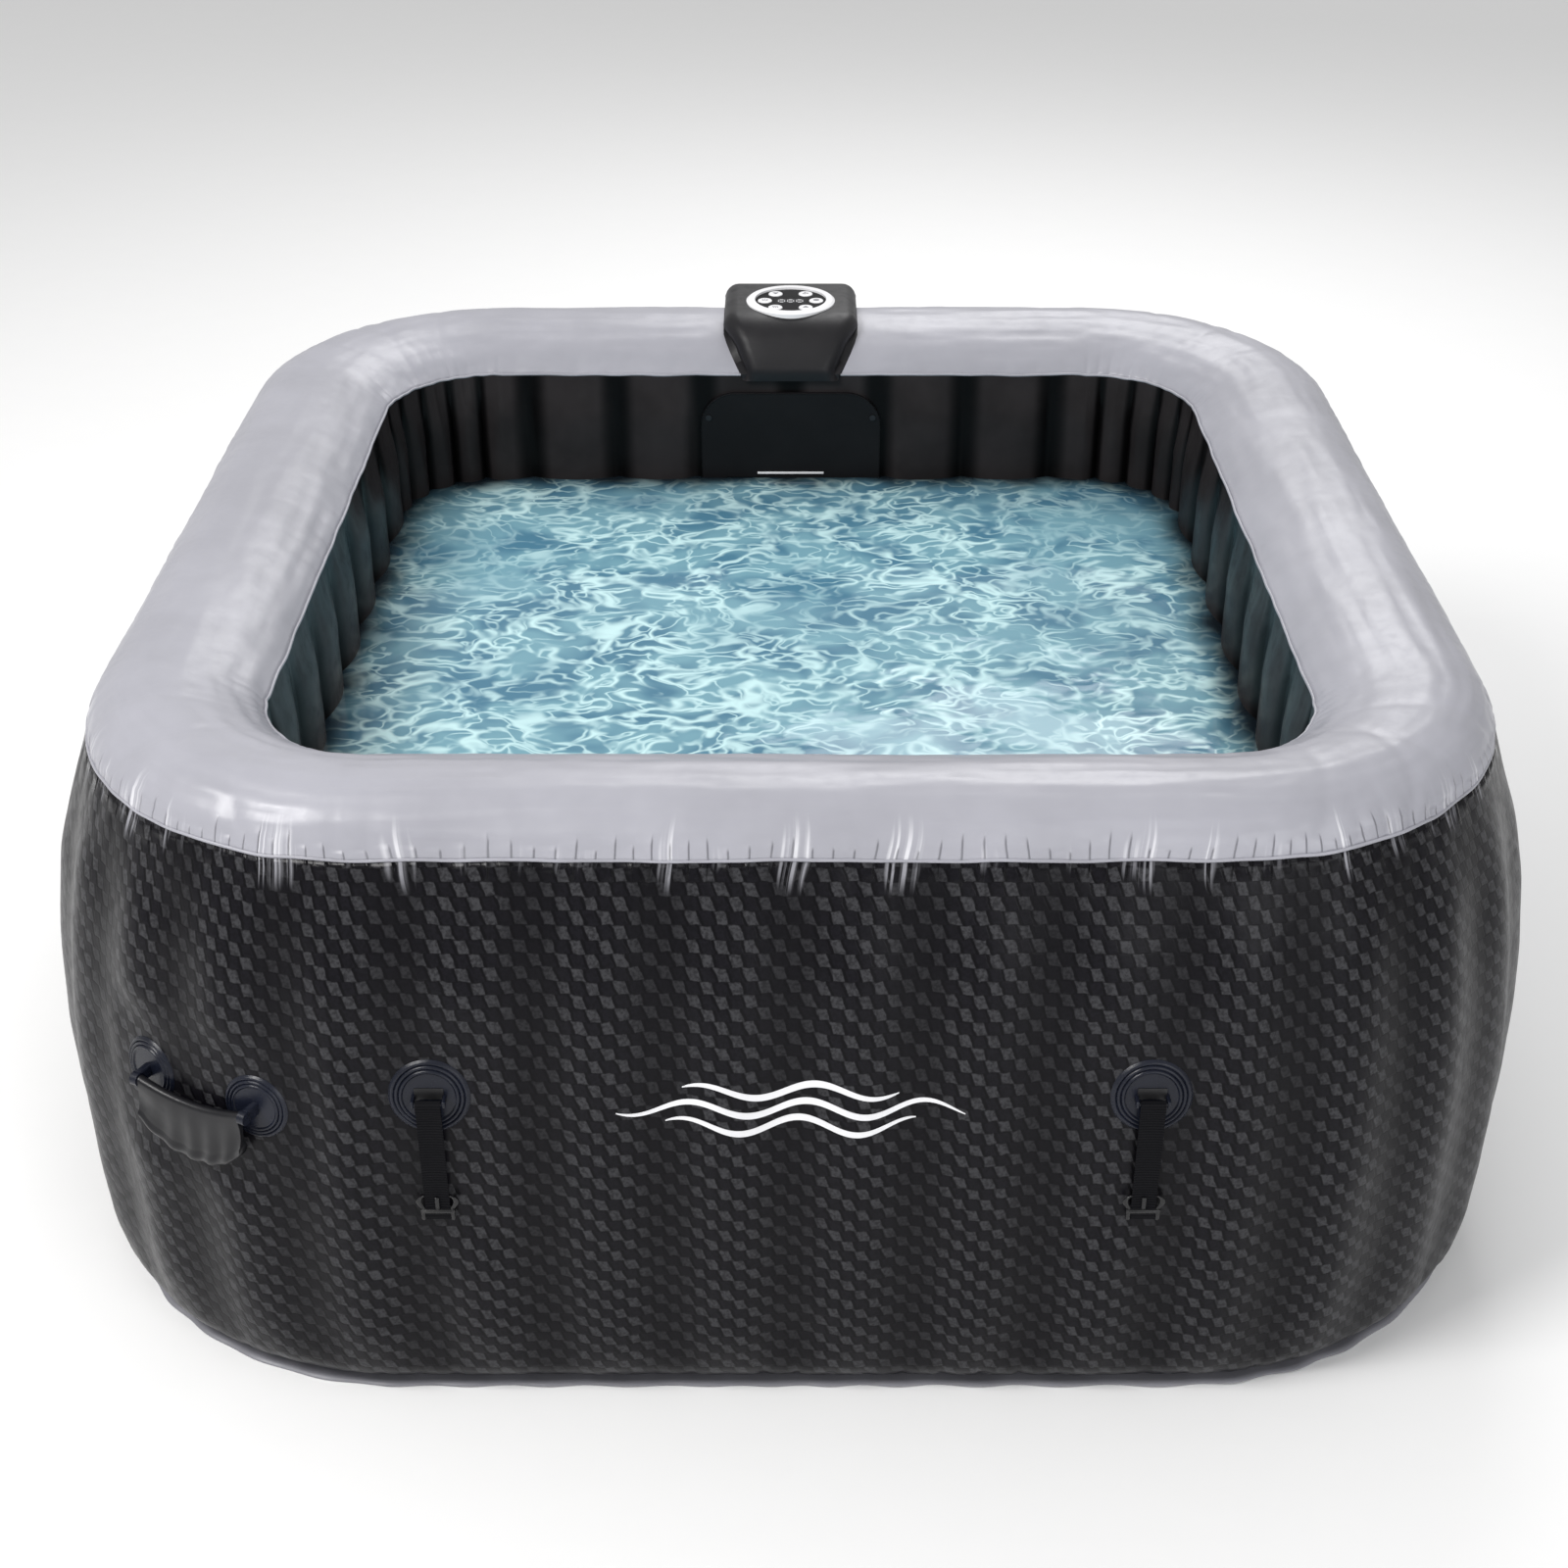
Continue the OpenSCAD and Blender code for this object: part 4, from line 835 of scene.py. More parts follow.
def board_finish():
    """Green circuit board with copper tracks."""
    if "Circuit board" in FINISHES:
        return FINISHES["Circuit board"]
    finish, tree, shader, coords = start_finish("Circuit board")
    cells = tree.nodes.new("ShaderNodeTexVoronoi")
    cells.feature = "DISTANCE_TO_EDGE"
    cells.inputs["Scale"].default_value = 160.0
    tree.links.new(coords, cells.inputs["Vector"])
    track = value(tree, "SUBTRACT", 1.0, ramp(tree, cells.outputs["Distance"], 0.02, 0.09))
    dress(tree, shader, blend_colour(tree, track, (0.01, 0.08, 0.03), (0.03, 0.17, 0.07)),
          ramp(tree, track, -0.6, 2.0))
    bump(tree, shader, track, 0.0001)
    return finish


# ---- operators: the shell ----------------------------------------------------------

class HOTTUB_OT_outer_wall(bpy.types.Operator):
    """Outer wall with its soft bulges, gathered under the rim and at the foot"""
    bl_idname = "hottub.outer_wall"
    bl_label = "Outer wall"

    def execute(self, context):
        shell = Shell()
        p = shell.p
        fit = tub().fittings
        outside = shell.wall_curve(0.0, 36, 12, 7)
        inside = shell.wall_curve(-p.skin * 3, 5, 3, 3)
        section = outside + [(shell.foot_s - 0.015, p.base_thickness),
                             (shell.foot_s - 0.015, p.base_thickness + 0.003)]
        section += inside[::-1]
        flats = []
        for n in STRAPS:
            low, high, u = hang(shell, f"strap_webbing_{n}")
            flats.append((u, low.z, high.z + fit.patch_radius, fit.patch_radius))
        for corner in (1, 3):
            start = shell.hx + shell.bend * corner + 2 * shell.hy * corner
            flats.append((start + fit.handle_angle * shell.r, fit.handle_height - 0.07, fit.handle_height + 0.04,
                          fit.handle_span / 2 + fit.anchor_radius))
        for cap in ("air_valve_cap", "drain_valve_cap"):
            low, high, u = hang(shell, cap)
            flats.append((u, low.z, high.z, 0.03))
        low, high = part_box("rear_cover")
        for middle_u in (0.0, shell.length):
            flats.append((middle_u, low.z, high.z, high.x))
        columns = {}

        def calm(u, z):
            """1 where the wall may swell and 0 under a fitting."""
            if u not in columns:
                columns[u] = [(max(abs(u - fu) - half, 0.0), a, b) for fu, a, b, half in flats
                              if abs(u - fu) < half + 0.05]
            return min((ease(0.0, 0.05, sqrt(du * du + max(a - z, z - b, 0.0) ** 2)) for du, a, b in columns[u]),
                       default=1.0)

        def shape(s, u, z):
            t = shell.tilt(max(z, 0.01))
            below = shell.seam_z - z
            k = calm(u, z)
            out = p.outer_lobe * shell.swell(u) * ease(0.0, 0.14, below) * ease(0.0, 0.10, z) * k
            out -= 1.15 * p.pucker_depth * shell.pucker(u, 2) * exp(-below / 0.024) * ease(-0.002, 0.006, below) * k
            out -= 1.2 * p.pucker_depth * shell.pucker(u, 11) * exp(-z / 0.045) * k
            out += 0.0012 * shell.around(u, 0.07, 20 + z * 3) * ease(0.0, 0.05, below) * k
            ds, dz = shell.welt(u, 30)
            fade = exp(-below / 0.02)
            lift = 0.0 if z <= p.base_thickness + 0.0035 else 1.0
            return s + out * cos(t) * lift + ds * fade, z + out * sin(t) * lift * ease(0.0, 0.08, z) + dz * fade

        bm = carry_round(shell, section, ROUND_STEPS, shape)
        settle(bm, "Outer_wall", "tub", [woven_finish(shell)], ["outer_wall"], sharp=SMOOTH)
        return {"FINISHED"}


class HOTTUB_OT_inner_wall(bpy.types.Operator):
    """Inner wall, drawn into upright rolls by the beams"""
    bl_idname = "hottub.inner_wall"
    bl_label = "Inner wall"

    def execute(self, context):
        shell = Shell()
        p = shell.p
        floor_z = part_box("inner_wall")[0].z
        rows = 26
        face = [(shell.inner_s, floor_z + (shell.seam_z - floor_z) * i / rows) for i in range(rows + 1)]
        back = [(shell.inner_s + p.skin, shell.seam_z), (shell.inner_s + p.skin, floor_z)]
        front_s = shell.inner_s + p.skin / 2

        def shape(s, u, z):
            ds, dz = shell.welt(u, 40)
            below = shell.seam_z - z
            fade = exp(-below / 0.02)
            if s > front_s:
                return s + ds * fade, z + dz * fade
            k = shell.clear_of_plate(u)
            reach = ease(0.0, 0.07, below) * ease(0.0, 0.05, z - floor_z)
            roll = p.inner_lobe * shell.lobe(u) ** 0.75 * reach
            gather = 0.003 * shell.pucker(u, 50) * exp(-below / 0.03) * ease(0.0, 0.012, below)
            crease = 0.0012 * shell.around(u, 0.06, 60 + 6 * z) * reach
            return s - max(roll + gather + crease, 0.0) * k + ds * fade, z + dz * fade

        bm = carry_round(shell, face + back, ROUND_STEPS, shape)
        settle(bm, "Inner_wall", "tub", [inner_finish(shell)], ["inner_wall"], sharp=60)
        return {"FINISHED"}


class HOTTUB_OT_rim(bpy.types.Operator):
    """Rim and its two welded seams, with gathers and corner folds"""
    bl_idname = "hottub.rim"
    bl_label = "Rim and seams"

    def execute(self, context):
        shell = Shell()
        p = shell.p
        section = shell.rim_curve(0.0, 22) + shell.rim_curve(-p.skin * 2, 4)[::-1]
        out_c = shell.top - shell.rim_out_r
        in_c = shell.top - shell.rim_in_r

        def shape(s, u, z):
            centre = out_c if s > shell.crest_s else in_c
            ns, nz = s - shell.crest_s, z - centre
            size = sqrt(ns * ns + nz * nz)
            ns, nz = ns / size, nz / size
            from_out = sqrt((shell.seam_s - s) ** 2 + (z - shell.seam_z) ** 2)
            from_in = sqrt((s - shell.inner_s) ** 2 + (z - shell.seam_z) ** 2)
            k = shell.clear_of_head(u)
            move = -p.pucker_depth * shell.pucker(u, 2) * exp(-from_out / 0.026) * ease(0.0, 0.008, from_out)
            move -= 0.8 * p.pucker_depth * shell.pucker(u, 50) * exp(-from_in / 0.020) * ease(0.0, 0.006, from_in)
            move -= 0.0034 * shell.folds(u, from_out) * ease(0.004, 0.03, from_out) * exp(-from_out / 0.07)
            move += 0.0016 * shell.around(u, 0.16, 70 + 12 * from_out)
            move += 0.0007 * shell.around(u, 0.045, 80 + 30 * from_out) * ease(0.0, 0.02, from_out)
            ds, dz = shell.welt(u, 30)
            es, ez = shell.welt(u, 40)
            a, b = exp(-from_out / 0.022), exp(-from_in / 0.022)
            return (s + ns * move * k + ds * a + es * b, z + nz * move * k + dz * a + ez * b)

        bm = carry_round(shell, section, ROUND_STEPS, shape, shell.crest_s)
        settle(bm, "Rim", "tub", [rim_finish(shell)], ["top_ring"], sharp=SMOOTH)
        seam = plain_finish("Seam vinyl", tuple(tub().colours.rim), 0.35, 0.5, 0.80)
        for name, s, layer in (("Outer_seam", shell.seam_s - p.skin / 2, 30),
                               ("Inner_seam", shell.inner_s + p.skin / 2, 40)):
            ring = arc(s, shell.seam_z, p.seam_bead, 0, 2 * pi, 8)[:-1]

            def bead(s0, u, z0, layer=layer):
                ds, dz = shell.welt(u, layer)
                return s0 + ds, z0 + dz

            piece = carry_round(shell, ring, 600, bead)
            settle(piece, name, "tub", [seam], ["top_seams"], sharp=SMOOTH)
        return {"FINISHED"}


class HOTTUB_OT_flange(bpy.types.Operator):
    """Wavy weld flange under the foot of the wall"""
    bl_idname = "hottub.flange"
    bl_label = "Base flange"

    def execute(self, context):
        shell = Shell()
        p = shell.p
        inner, outer = shell.foot_s, shell.foot_s + p.flange_width
        section = ([(inner, 0.0)] + [(inner + (outer - inner) * i / 4, 0.0) for i in range(1, 5)]
                   + [(outer - (outer - inner) * i / 4, 0.0016) for i in range(0, 5)])

        def shape(s, u, z):
            t = (s - inner) / (outer - inner)
            wave = sin(pi * p.puckers * u / shell.length + 4.0 * shell.around(u, 0.22, 11))
            swell = 0.5 + 0.9 * shell.around(u, 0.3, 90)
            return s + t * 0.003 * wave * swell, z + t * t * 0.0016 * (1 + wave) * swell

        bm = carry_round(shell, section, 700, shape)
        vinyl = plain_finish("Flange vinyl", tuple(tub().colours.flange), 0.4, 0.55, 0.8)
        settle(bm, "Base_flange", "tub", [vinyl], ["bottom_flange"], sharp=SMOOTH)
        return {"FINISHED"}


class HOTTUB_OT_water(bpy.types.Operator):
    """Water surface between the inner walls"""
    bl_idname = "hottub.water"
    bl_label = "Water"

    def execute(self, context):
        shell = Shell()
        level = shell.p.water_level
        steps, rings = 240, 44
        edge = shell.inner_s - 0.0006
        bm = bmesh.new()
        line = [(i / rings, 0.0, 1.0) for i in range(rings + 1)] + [(1 - i / 6, 0.0, 0.0) for i in range(7)]
        verts, edges = outline(bm, line)
        step = shell.length / steps
        bmesh.ops.spin(bm, geom=verts + edges, cent=(0, 0, 0), axis=(0, 0, 1), dvec=(0, step, 0), angle=0.0,
                       steps=steps, use_merge=False, use_duplicate=False)
        wrap = bm.loops.layers.uv.new("Wrap")
        reach = bm.verts.layers.float.new("Reach")
        for v in bm.verts:
            u = round(v.co.y / step) * step
            t = v.co.x
            x, y = shell.plan(u % shell.length, edge)
            x, y = x * t, y * t
            inside = max(abs(x) - shell.hx, 0.0), max(abs(y) - shell.hy, 0.0)
            wall = edge - sqrt(inside[0] ** 2 + inside[1] ** 2)
            wall = min(wall, shell.hx + edge - abs(x), shell.hy + edge - abs(y))
            swell = 0.0012 * noise.noise(Vector((x * 9, y * 9, 3.1)))
            v.co = (x, y, level + swell if v.co.z > 0.5 else level - 0.012)
            v[reach] = wall
        for face in bm.faces:
            for corner in face.loops:
                corner[wrap].uv = (corner.vert[reach], 0.0)
        bmesh.ops.remove_doubles(bm, verts=bm.verts, dist=1e-5)
        flat = [f for f in bm.faces if f.calc_area() < 1e-12]
        bmesh.ops.delete(bm, geom=flat, context="FACES_ONLY")
        settle(bm, "Water", "tub", [water_finish()], sharp=60)
        return {"FINISHED"}


# ---- operators: straps and handles -------------------------------------------------

def disc_profile(radius, height, ridges):
    """Half a moulded disc: a flat middle, rings near its edge and a thin lip."""
    points = [(0.0, height)]
    start = radius * 0.60
    points.append((start, height))
    pitch = (radius - start) / (ridges + 0.6)
    for i in range(ridges):
        r = start + pitch * (i + 0.35)
        points += [(r + pitch * f, height * (1 - 0.25 * i) + pitch * 0.38 * sin(pi * f))
                   for f in (0.0, 0.2, 0.4, 0.6, 0.8)]
    points += [(radius - 0.0006, height * 0.34), (radius, 0.0003), (radius, -0.001), (0.0, -0.001)]
    return points


def glossy_vinyl():
    return plain_finish("Patch vinyl", tuple(tub().colours.patch), 0.24, 0.38, 0.7, 1200.0, 0.00012, specular=0.28)


class HOTTUB_OT_patches(bpy.types.Operator):
    """Round strap patches with their rings, slots and bars"""
    bl_idname = "hottub.patches"
    bl_label = "Strap patches"

    def execute(self, context):
        shell = Shell()
        fit = tub().fittings
        vinyl = glossy_vinyl()
        shade = plain_finish("Slot shade", (0.002, 0.002, 0.003), 0.5, 0.7)
        for n in STRAPS:
            u = hang(shell, f"strap_webbing_{n}")[2]
            bar_x = shell.bar_s(n)
            bm = bmesh.new()
            verts = turned(bm, disc_profile(fit.patch_radius, 0.0026, 3), 64)
            lay_on_wall(shell, verts, u, fit.patch_height)
            before = set(bm.faces)
            slot_verts = rounded_block(bm, (0.028, 0.012, 0.0016), (0, 0.004, 0.0028), 0.0007, 2)
            for face in set(bm.faces) - before:
                face.material_index = 1
            lay_on_wall(shell, slot_verts, u, fit.patch_height)
            place = side_frame(shell, u)
            for side in (-1, 1):
                ear = rounded_block(bm, (0.0160, 0.0036, 0.0076), (bar_x - 0.0056, side * 0.0148, fit.patch_height),
                                    0.0014)
                bmesh.ops.transform(bm, matrix=place, verts=ear)
            bar = rod(bm, (bar_x, -0.0150, fit.patch_height), (bar_x, 0.0150, fit.patch_height), 0.0018)
            bmesh.ops.transform(bm, matrix=place, verts=bar)
            settle(bm, f"Strap_patch_{n}", "tub", [vinyl, shade], ["strap_patches"])
        return {"FINISHED"}


class HOTTUB_OT_webbing(bpy.types.Operator):
    """Webbing of the cover straps, looped round a bar at each end"""
    bl_idname = "hottub.webbing"
    bl_label = "Strap webbing"

    def execute(self, context):
        shell = Shell()
        fit = tub().fittings
        thick = fit.web_thickness
        bore = 0.0019
        for n in STRAPS:
            low, high, u = hang(shell, f"strap_webbing_{n}")
            bar_x = shell.bar_s(n)
            eye = bore + thick
            top_z, low_z = high.z - eye, low.z + eye
            width = max(high.x - low.x, high.y - low.y)
            bm = bmesh.new()
            # The strip's edge line: over the top bar, down the front, round the lower bar and back up.
            drop = top_z - low_z
            line = arc(bar_x, top_z, eye, pi * 0.98, -0.35, 14)
            rows = 22
            for i in range(1, rows):
                f = i / rows
                line.append((bar_x + eye * (1 - ease(0, 0.16, f)) + 0.0009 + 0.0012 * sin(pi * f)
                             + eye * 0.8 * ease(0.86, 1.0, f), top_z - drop * f))
            line += arc(bar_x, low_z, eye, 0.1, -pi * 0.98, 14)
            inner = arc(bar_x, low_z, bore, -pi * 0.98, -0.1, 10)
            for i in range(rows - 1, 0, -1):
                f = i / rows
                inner.append((bar_x + bore * (1 - ease(0, 0.16, f)) - 0.0009 + 0.0012 * sin(pi * f)
                              + bore * 0.8 * ease(0.86, 1.0, f), top_z - drop * f))
            inner += arc(bar_x, top_z, bore, 0.1, pi * 0.98, 10)
            verts = outline(bm, [(s, -width / 2, z) for s, z in line + inner])[0]
            draw_out(bm, [bm.faces.new(verts)], (0, width, 0))
            sides = [e for e in bm.edges if abs(e.verts[0].co.y - e.verts[1].co.y) > width * 0.9]
            bmesh.ops.subdivide_edges(bm, edges=sides, cuts=10, use_grid_fill=True)
            for v in bm.verts:
                rim = abs(v.co.y) / (width / 2)
                if v.co.z < top_z - 0.012 and v.co.z > low_z + 0.012:
                    v.co.x += 0.0007 * rim ** 3
            bmesh.ops.transform(bm, matrix=side_frame(shell, u), verts=bm.verts)
            settle(bm, f"Webbing_{n}", f"strap_{n}", [webbing_finish()], [f"strap_webbing_{n}"], sharp=50)
        return {"FINISHED"}


class HOTTUB_OT_buckles(bpy.types.Operator):
    """Buckle tongues with two curved prongs and a middle post"""
    bl_idname = "hottub.buckles"
    bl_label = "Buckles"

    def execute(self, context):
        shell = Shell()
        plastic = plain_finish("Buckle plastic", (0.010, 0.010, 0.011), 0.24, 0.38, 0.8, 1500.0, 0.00008,
                               specular=0.4)
        for n in STRAPS:
            low, _, u = hang(shell, f"buckle_{n}")
            bar_x = shell.bar_s(n)
            bar_z = low.z + 0.003
            bm = bmesh.new()
            half = 0.0122
            rod(bm, (bar_x, -half - 0.002, bar_z), (bar_x, half + 0.002, bar_z), 0.0018)
            rounded_block(bm, (0.0034, 2 * half + 0.009, 0.0044), (bar_x + 0.0030, 0, bar_z + 0.0078), 0.0012)
            rounded_block(bm, (0.0020, 2 * half + 0.005, 0.0026), (bar_x + 0.0042, 0, bar_z + 0.0078), 0.0008)
            for side in (-1, 1):
                rounded_block(bm, (0.0058, 0.0042, 0.0132), (bar_x + 0.0014, side * (half + 0.0021), bar_z + 0.0036),
                              0.0014)
                # A prong: a small rounded section carried up a curve that leans out and hooks in.
                root = (bar_x + 0.0022, side * (half + 0.0008))
                verts = outline(bm, [(root[0] + 0.0013 * cos(a), root[1] + 0.0019 * sin(a), bar_z + 0.0085)
                                     for a in [2 * pi * i / 10 for i in range(10)]])[0]
                face = bm.faces.new(verts)
                path = [(0.0016, 0.0030), (0.0022, 0.0032), (0.0014, 0.0034), (-0.0006, 0.0034), (-0.0024, 0.0030),
                        (-0.0034, 0.0020)]
                for i, (out, up) in enumerate(path):
                    grown, moved = draw_out(bm, [face], (0, side * out, up), False)
                    face = next(g for g in grown if isinstance(g, bmesh.types.BMFace))
                    centre = face.calc_center_median()
                    bmesh.ops.scale(bm, vec=(0.95, 1.12 if i < 3 else 0.86, 1.0), verts=moved,
                                    space=Matrix.Translation(-centre))
            rounded_block(bm, (0.0022, 0.0044, 0.0150), (bar_x + 0.0026, 0, bar_z + 0.0168), 0.0010)
            bmesh.ops.transform(bm, matrix=side_frame(shell, u), verts=bm.verts)
            settle(bm, f"Buckle_{n}", f"buckle_{n}", [plastic], [f"buckle_{n}"])
        return {"FINISHED"}


class HOTTUB_OT_handles(bpy.types.Operator):
    """Carry handles: ribbed anchors and a drooping sleeve with a thick hem"""
    bl_idname = "hottub.handles"
    bl_label = "Carry handles"

    def execute(self, context):
        shell = Shell()
        fit = tub().fittings
        vinyl = glossy_vinyl()
        sleeve = plain_finish("Sleeve vinyl", (0.008, 0.008, 0.010), 0.28, 0.44, 0.7, 1000.0, 0.00016, specular=0.28)
        half = fit.handle_span / 2
        spread = asin(half / shell.r)
        hinge_x = shell.wall_s(fit.handle_height) * cos(spread) + fit.handle_out
        reach = half - 0.0045
        for name, corner, cx, cy in (("front", 1, -1, -1), ("rear", 3, 1, 1)):
            start = shell.hx + shell.bend * corner + 2 * shell.hy * corner
            u = start + fit.handle_angle * shell.r
            turn = (pi if corner == 1 else 0.0) + fit.handle_angle
            place = Matrix.Translation((cx * shell.hx, cy * shell.hy, 0)) @ Matrix.Rotation(turn, 4, "Z")
            bm = bmesh.new()
            for side in (-1, 1):
                verts = turned(bm, disc_profile(fit.anchor_radius, 0.0028, 3), 64)
                lay_on_wall(shell, verts, u + side * spread * shell.r, fit.handle_height)
                face_x = shell.wall_s(fit.handle_height) * cos(spread)
                web = rounded_block(bm, (hinge_x - face_x + 0.004, 0.0078, 0.0136),
                                    ((hinge_x + face_x) / 2 - 0.002, side * half, fit.handle_height), 0.0020)
                knob = rod(bm, (hinge_x, side * half - 0.0039, fit.handle_height),
                           (hinge_x, side * half + 0.0039, fit.handle_height), 0.0069, 28)
                bmesh.ops.transform(bm, matrix=place, verts=web + knob)
            settle(bm, f"Handle_anchors_{name}", "tub", [vinyl], ["handle_anchors"])

            bm = bmesh.new()
            depth = 0.046
            front = [(0.0052 * cos(a), 0.0052 * sin(a)) for a in [radians(v) for v in range(180, -1, -20)]]
            front += [(0.0046, -0.008), (0.0030, -0.016), (0.0026, -0.026), (0.0030, -0.034), (0.0040, -0.0385)]
            hem = [(0.0066 * cos(a), -depth + 0.0066 * sin(a)) for a in [radians(v) for v in range(50, -231, -28)]]
            back = [(-0.0038, -0.0385), (-0.0022, -0.034), (-0.0016, -0.026), (-0.0018, -0.016), (-0.0040, -0.008)]
            steps = 46
            sweep(bm, [(x, -reach, z) for x, z in front + hem + back], (0, 2 * reach / steps, 0), steps)
            for v in bm.verts:
                t = v.co.y / reach
                down = min(max(-v.co.z / depth, 0.0), 1.15)
                sag = 0.010 * (1 - t * t)
                tail = 0.012 * down * (1 - abs(t) ** 2.4) - 0.006 * down * abs(t) ** 3
                gather = 0.0013 * sin(17 * t + 2.5 * down) * down * (1 - 0.4 * abs(t))
                belly = 0.0035 * sin(pi * min(down, 1.0)) * (1 - t * t)
                flare = 1 + 0.10 * down * (1 if t < 0 else -0.35)
                v.co.x += gather + belly
                v.co.y *= flare
                v.co.z -= sag + tail
            bmesh.ops.translate(bm, vec=(hinge_x, 0, fit.handle_height), verts=bm.verts)
            for side in (-1, 1):
                rod(bm, (hinge_x, side * (reach - 0.004), fit.handle_height),
                    (hinge_x, side * (half + 0.0038), fit.handle_height), 0.003)
            bmesh.ops.transform(bm, matrix=place, verts=bm.verts)
            settle(bm, f"Grip_sleeve_{name}", f"grip_{name}", [sleeve],
                   [f"handle_grip_{name}"], sharp=60)
        return {"FINISHED"}


class HOTTUB_OT_emblem(bpy.types.Operator):
    """Three white wave lines on the front wall"""
    bl_idname = "hottub.emblem"
    bl_label = "Wave emblem"

    def execute(self, context):
        shell = Shell()
        fit = tub().fittings
        middle = shell.length / 2
        ink = plain_finish("Emblem ink", (0.78, 0.78, 0.80), 0.4, 0.55, 0.93)
        bm = bmesh.new()
        steps = 110
        for line, (rise, share) in enumerate(((0.019, 0.62), (0.0, 1.0), (-0.019, 0.72))):
            width = fit.emblem_width * share
            section = [(0.0, -0.5), (0.0, 0.5), (1.0, 0.5), (1.0, -0.5)]
            before = set(bm.verts)
            sweep(bm, [(-width / 2, h, d) for d, h in section], (width / steps, 0, 0), steps)
            for v in [v for v in bm.verts if v not in before]:
                x = v.co.x
                t = 2 * x / width
                thick = 0.0072 * max(1 - t * t, 0.02) ** 0.5
                up = rise + 0.0075 * sin(2 * pi * x / 0.11 + 0.5 * line) + v.co.y * thick
                z = fit.emblem_height + up
                out = (shell.p.outer_lobe * shell.swell(middle + x)
                       + 0.0012 * shell.around(middle + x, 0.07, 20 + z * 3))
                v.co = shell.on_wall(middle + x, z, out + LINE_OUT + 0.0006 * v.co.z)
        settle(bm, "Wave_emblem", "tub", [ink])
        return {"FINISHED"}


# ---- operators: the control head and the plate -------------------------------------

class HOTTUB_OT_head(bpy.types.Operator):
    """Control head that hooks over the rear rim"""
    bl_idname = "hottub.head"
    bl_label = "Control head"

    def execute(self, context):
        shell = Shell()
        low, high = HEAD_BOX
        half = (high.x - low.x) / 2
        lip = 0.061
        inner, crest = shell.inner_s, shell.crest_s
        front_s = low.y - shell.hy

        def width_at(s):
            """Half the head's width: a rounded taper from the lip to the full width."""
            t = (s - inner + 0.009) / (crest - 0.062 - inner + 0.009)
            t = min(max(t, 0.0), 1.0)
            return lip + 0.002 + (half - lip - 0.002) * t * (1.6 - 0.6 * t)

        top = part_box("panel_face")[1].z - 0.0008
        outer = [(front_s + 0.003, shell.seam_z - 0.006), (front_s, shell.seam_z + 0.004),
                 (front_s + 0.001, shell.seam_z + 0.014)]
        outer += arc(crest - 0.055, top - 0.062, 0.062, radians(152), pi / 2, 14)
        back = high.y - shell.hy
        outer += arc(back - 0.022, top - 0.016, 0.016, pi / 2, radians(10), 6)
        outer += [(back - 0.002, shell.seam_z + 0.02), (back - 0.002, shell.seam_z + 0.004)]
        under = [(back - 0.010, shell.seam_z - 0.002), (shell.seam_s + 0.004, shell.seam_z)]
        under += shell.rim_curve(0.0004, 8)[1:-1]
        under += [(inner - 0.004, shell.seam_z + 0.002), (inner - 0.004, shell.seam_z - 0.005)]
        edge = 0.020
        # The outer skin sinks towards its two sides by a quarter circle, so its long edges are round.
        sink = {}
        for i, (s, z) in enumerate(outer):
            before, after = outer[max(i - 1, 0)], outer[min(i + 1, len(outer) - 1)]
            run, rise = after[0] - before[0], after[1] - before[1]
            size = sqrt(run * run + rise * rise)
            part = ease(0.0, 0.012, z - outer[0][1])
            if s > crest:
                part *= ease(0.0, 0.010, z - outer[-1][1] + 0.001)
            sink[i] = (rise / size * part, -run / size * part)
        stations = [(-1, radians(a)) for a in range(90, -1, -15)] + [(0, f) for f in (-0.6, -0.2, 0.2, 0.6)]
        stations += [(1, radians(a)) for a in range(0, 91, 15)]
        loop = outer + under
        bm = bmesh.new()
        sweep(bm, [(0.0, i, 0.0) for i in range(len(loop))], (1.0, 0, 0), len(stations) - 1)
        for v in bm.verts:
            side, turn = stations[round(v.co.x)]
            i = round(v.co.y)
            s, z = loop[i]
            wide = width_at(s)
            ds, dz = sink.get(i, (0.0, 0.0))
            if side:
                x = side * (wide - edge + edge * sin(turn))
                deep = edge * (1 - cos(turn))
            else:
                x, deep = (wide - edge) * turn, 0.0
            v.co = (x, shell.hy + s + ds * deep, z + dz * deep)
        bmesh.ops.triangulate(bm, faces=[f for f in bm.faces if len(f.verts) > 4])
        plastic = plain_finish("Head plastic", tuple(tub().colours.head), 0.40, 0.52, 0.88, 1800.0, 0.00012,
                               specular=0.28)
        settle(bm, "Control_head", "tub", [plastic], ["head_shell"], sharp=45)
        return {"FINISHED"}


def mark(bm, points, base, depth=0.00035):
    """A thin raised mark from a flat outline."""
    verts = [bm.verts.new((x, y, base)) for x, y in points]
    draw_out(bm, [bm.faces.new(verts)], (0, 0, depth))


def ring_mark(bm, radius, width, base, start=0.0, end=2 * pi, centre=(0.0, 0.0)):
    """A ring or part of one, as a thin raised mark."""
    count = 20
    cx, cy = centre
    outer = arc(cx, cy, radius, start, end, count)
    inner = arc(cx, cy, radius - width, end, start, count)
    if end - start > 6.28:
        outer[-1] = (outer[-1][0], outer[-1][1] - 1e-5)
        inner[-1] = (inner[-1][0], inner[-1][1] + 1e-5)
    mark(bm, outer + inner, base)


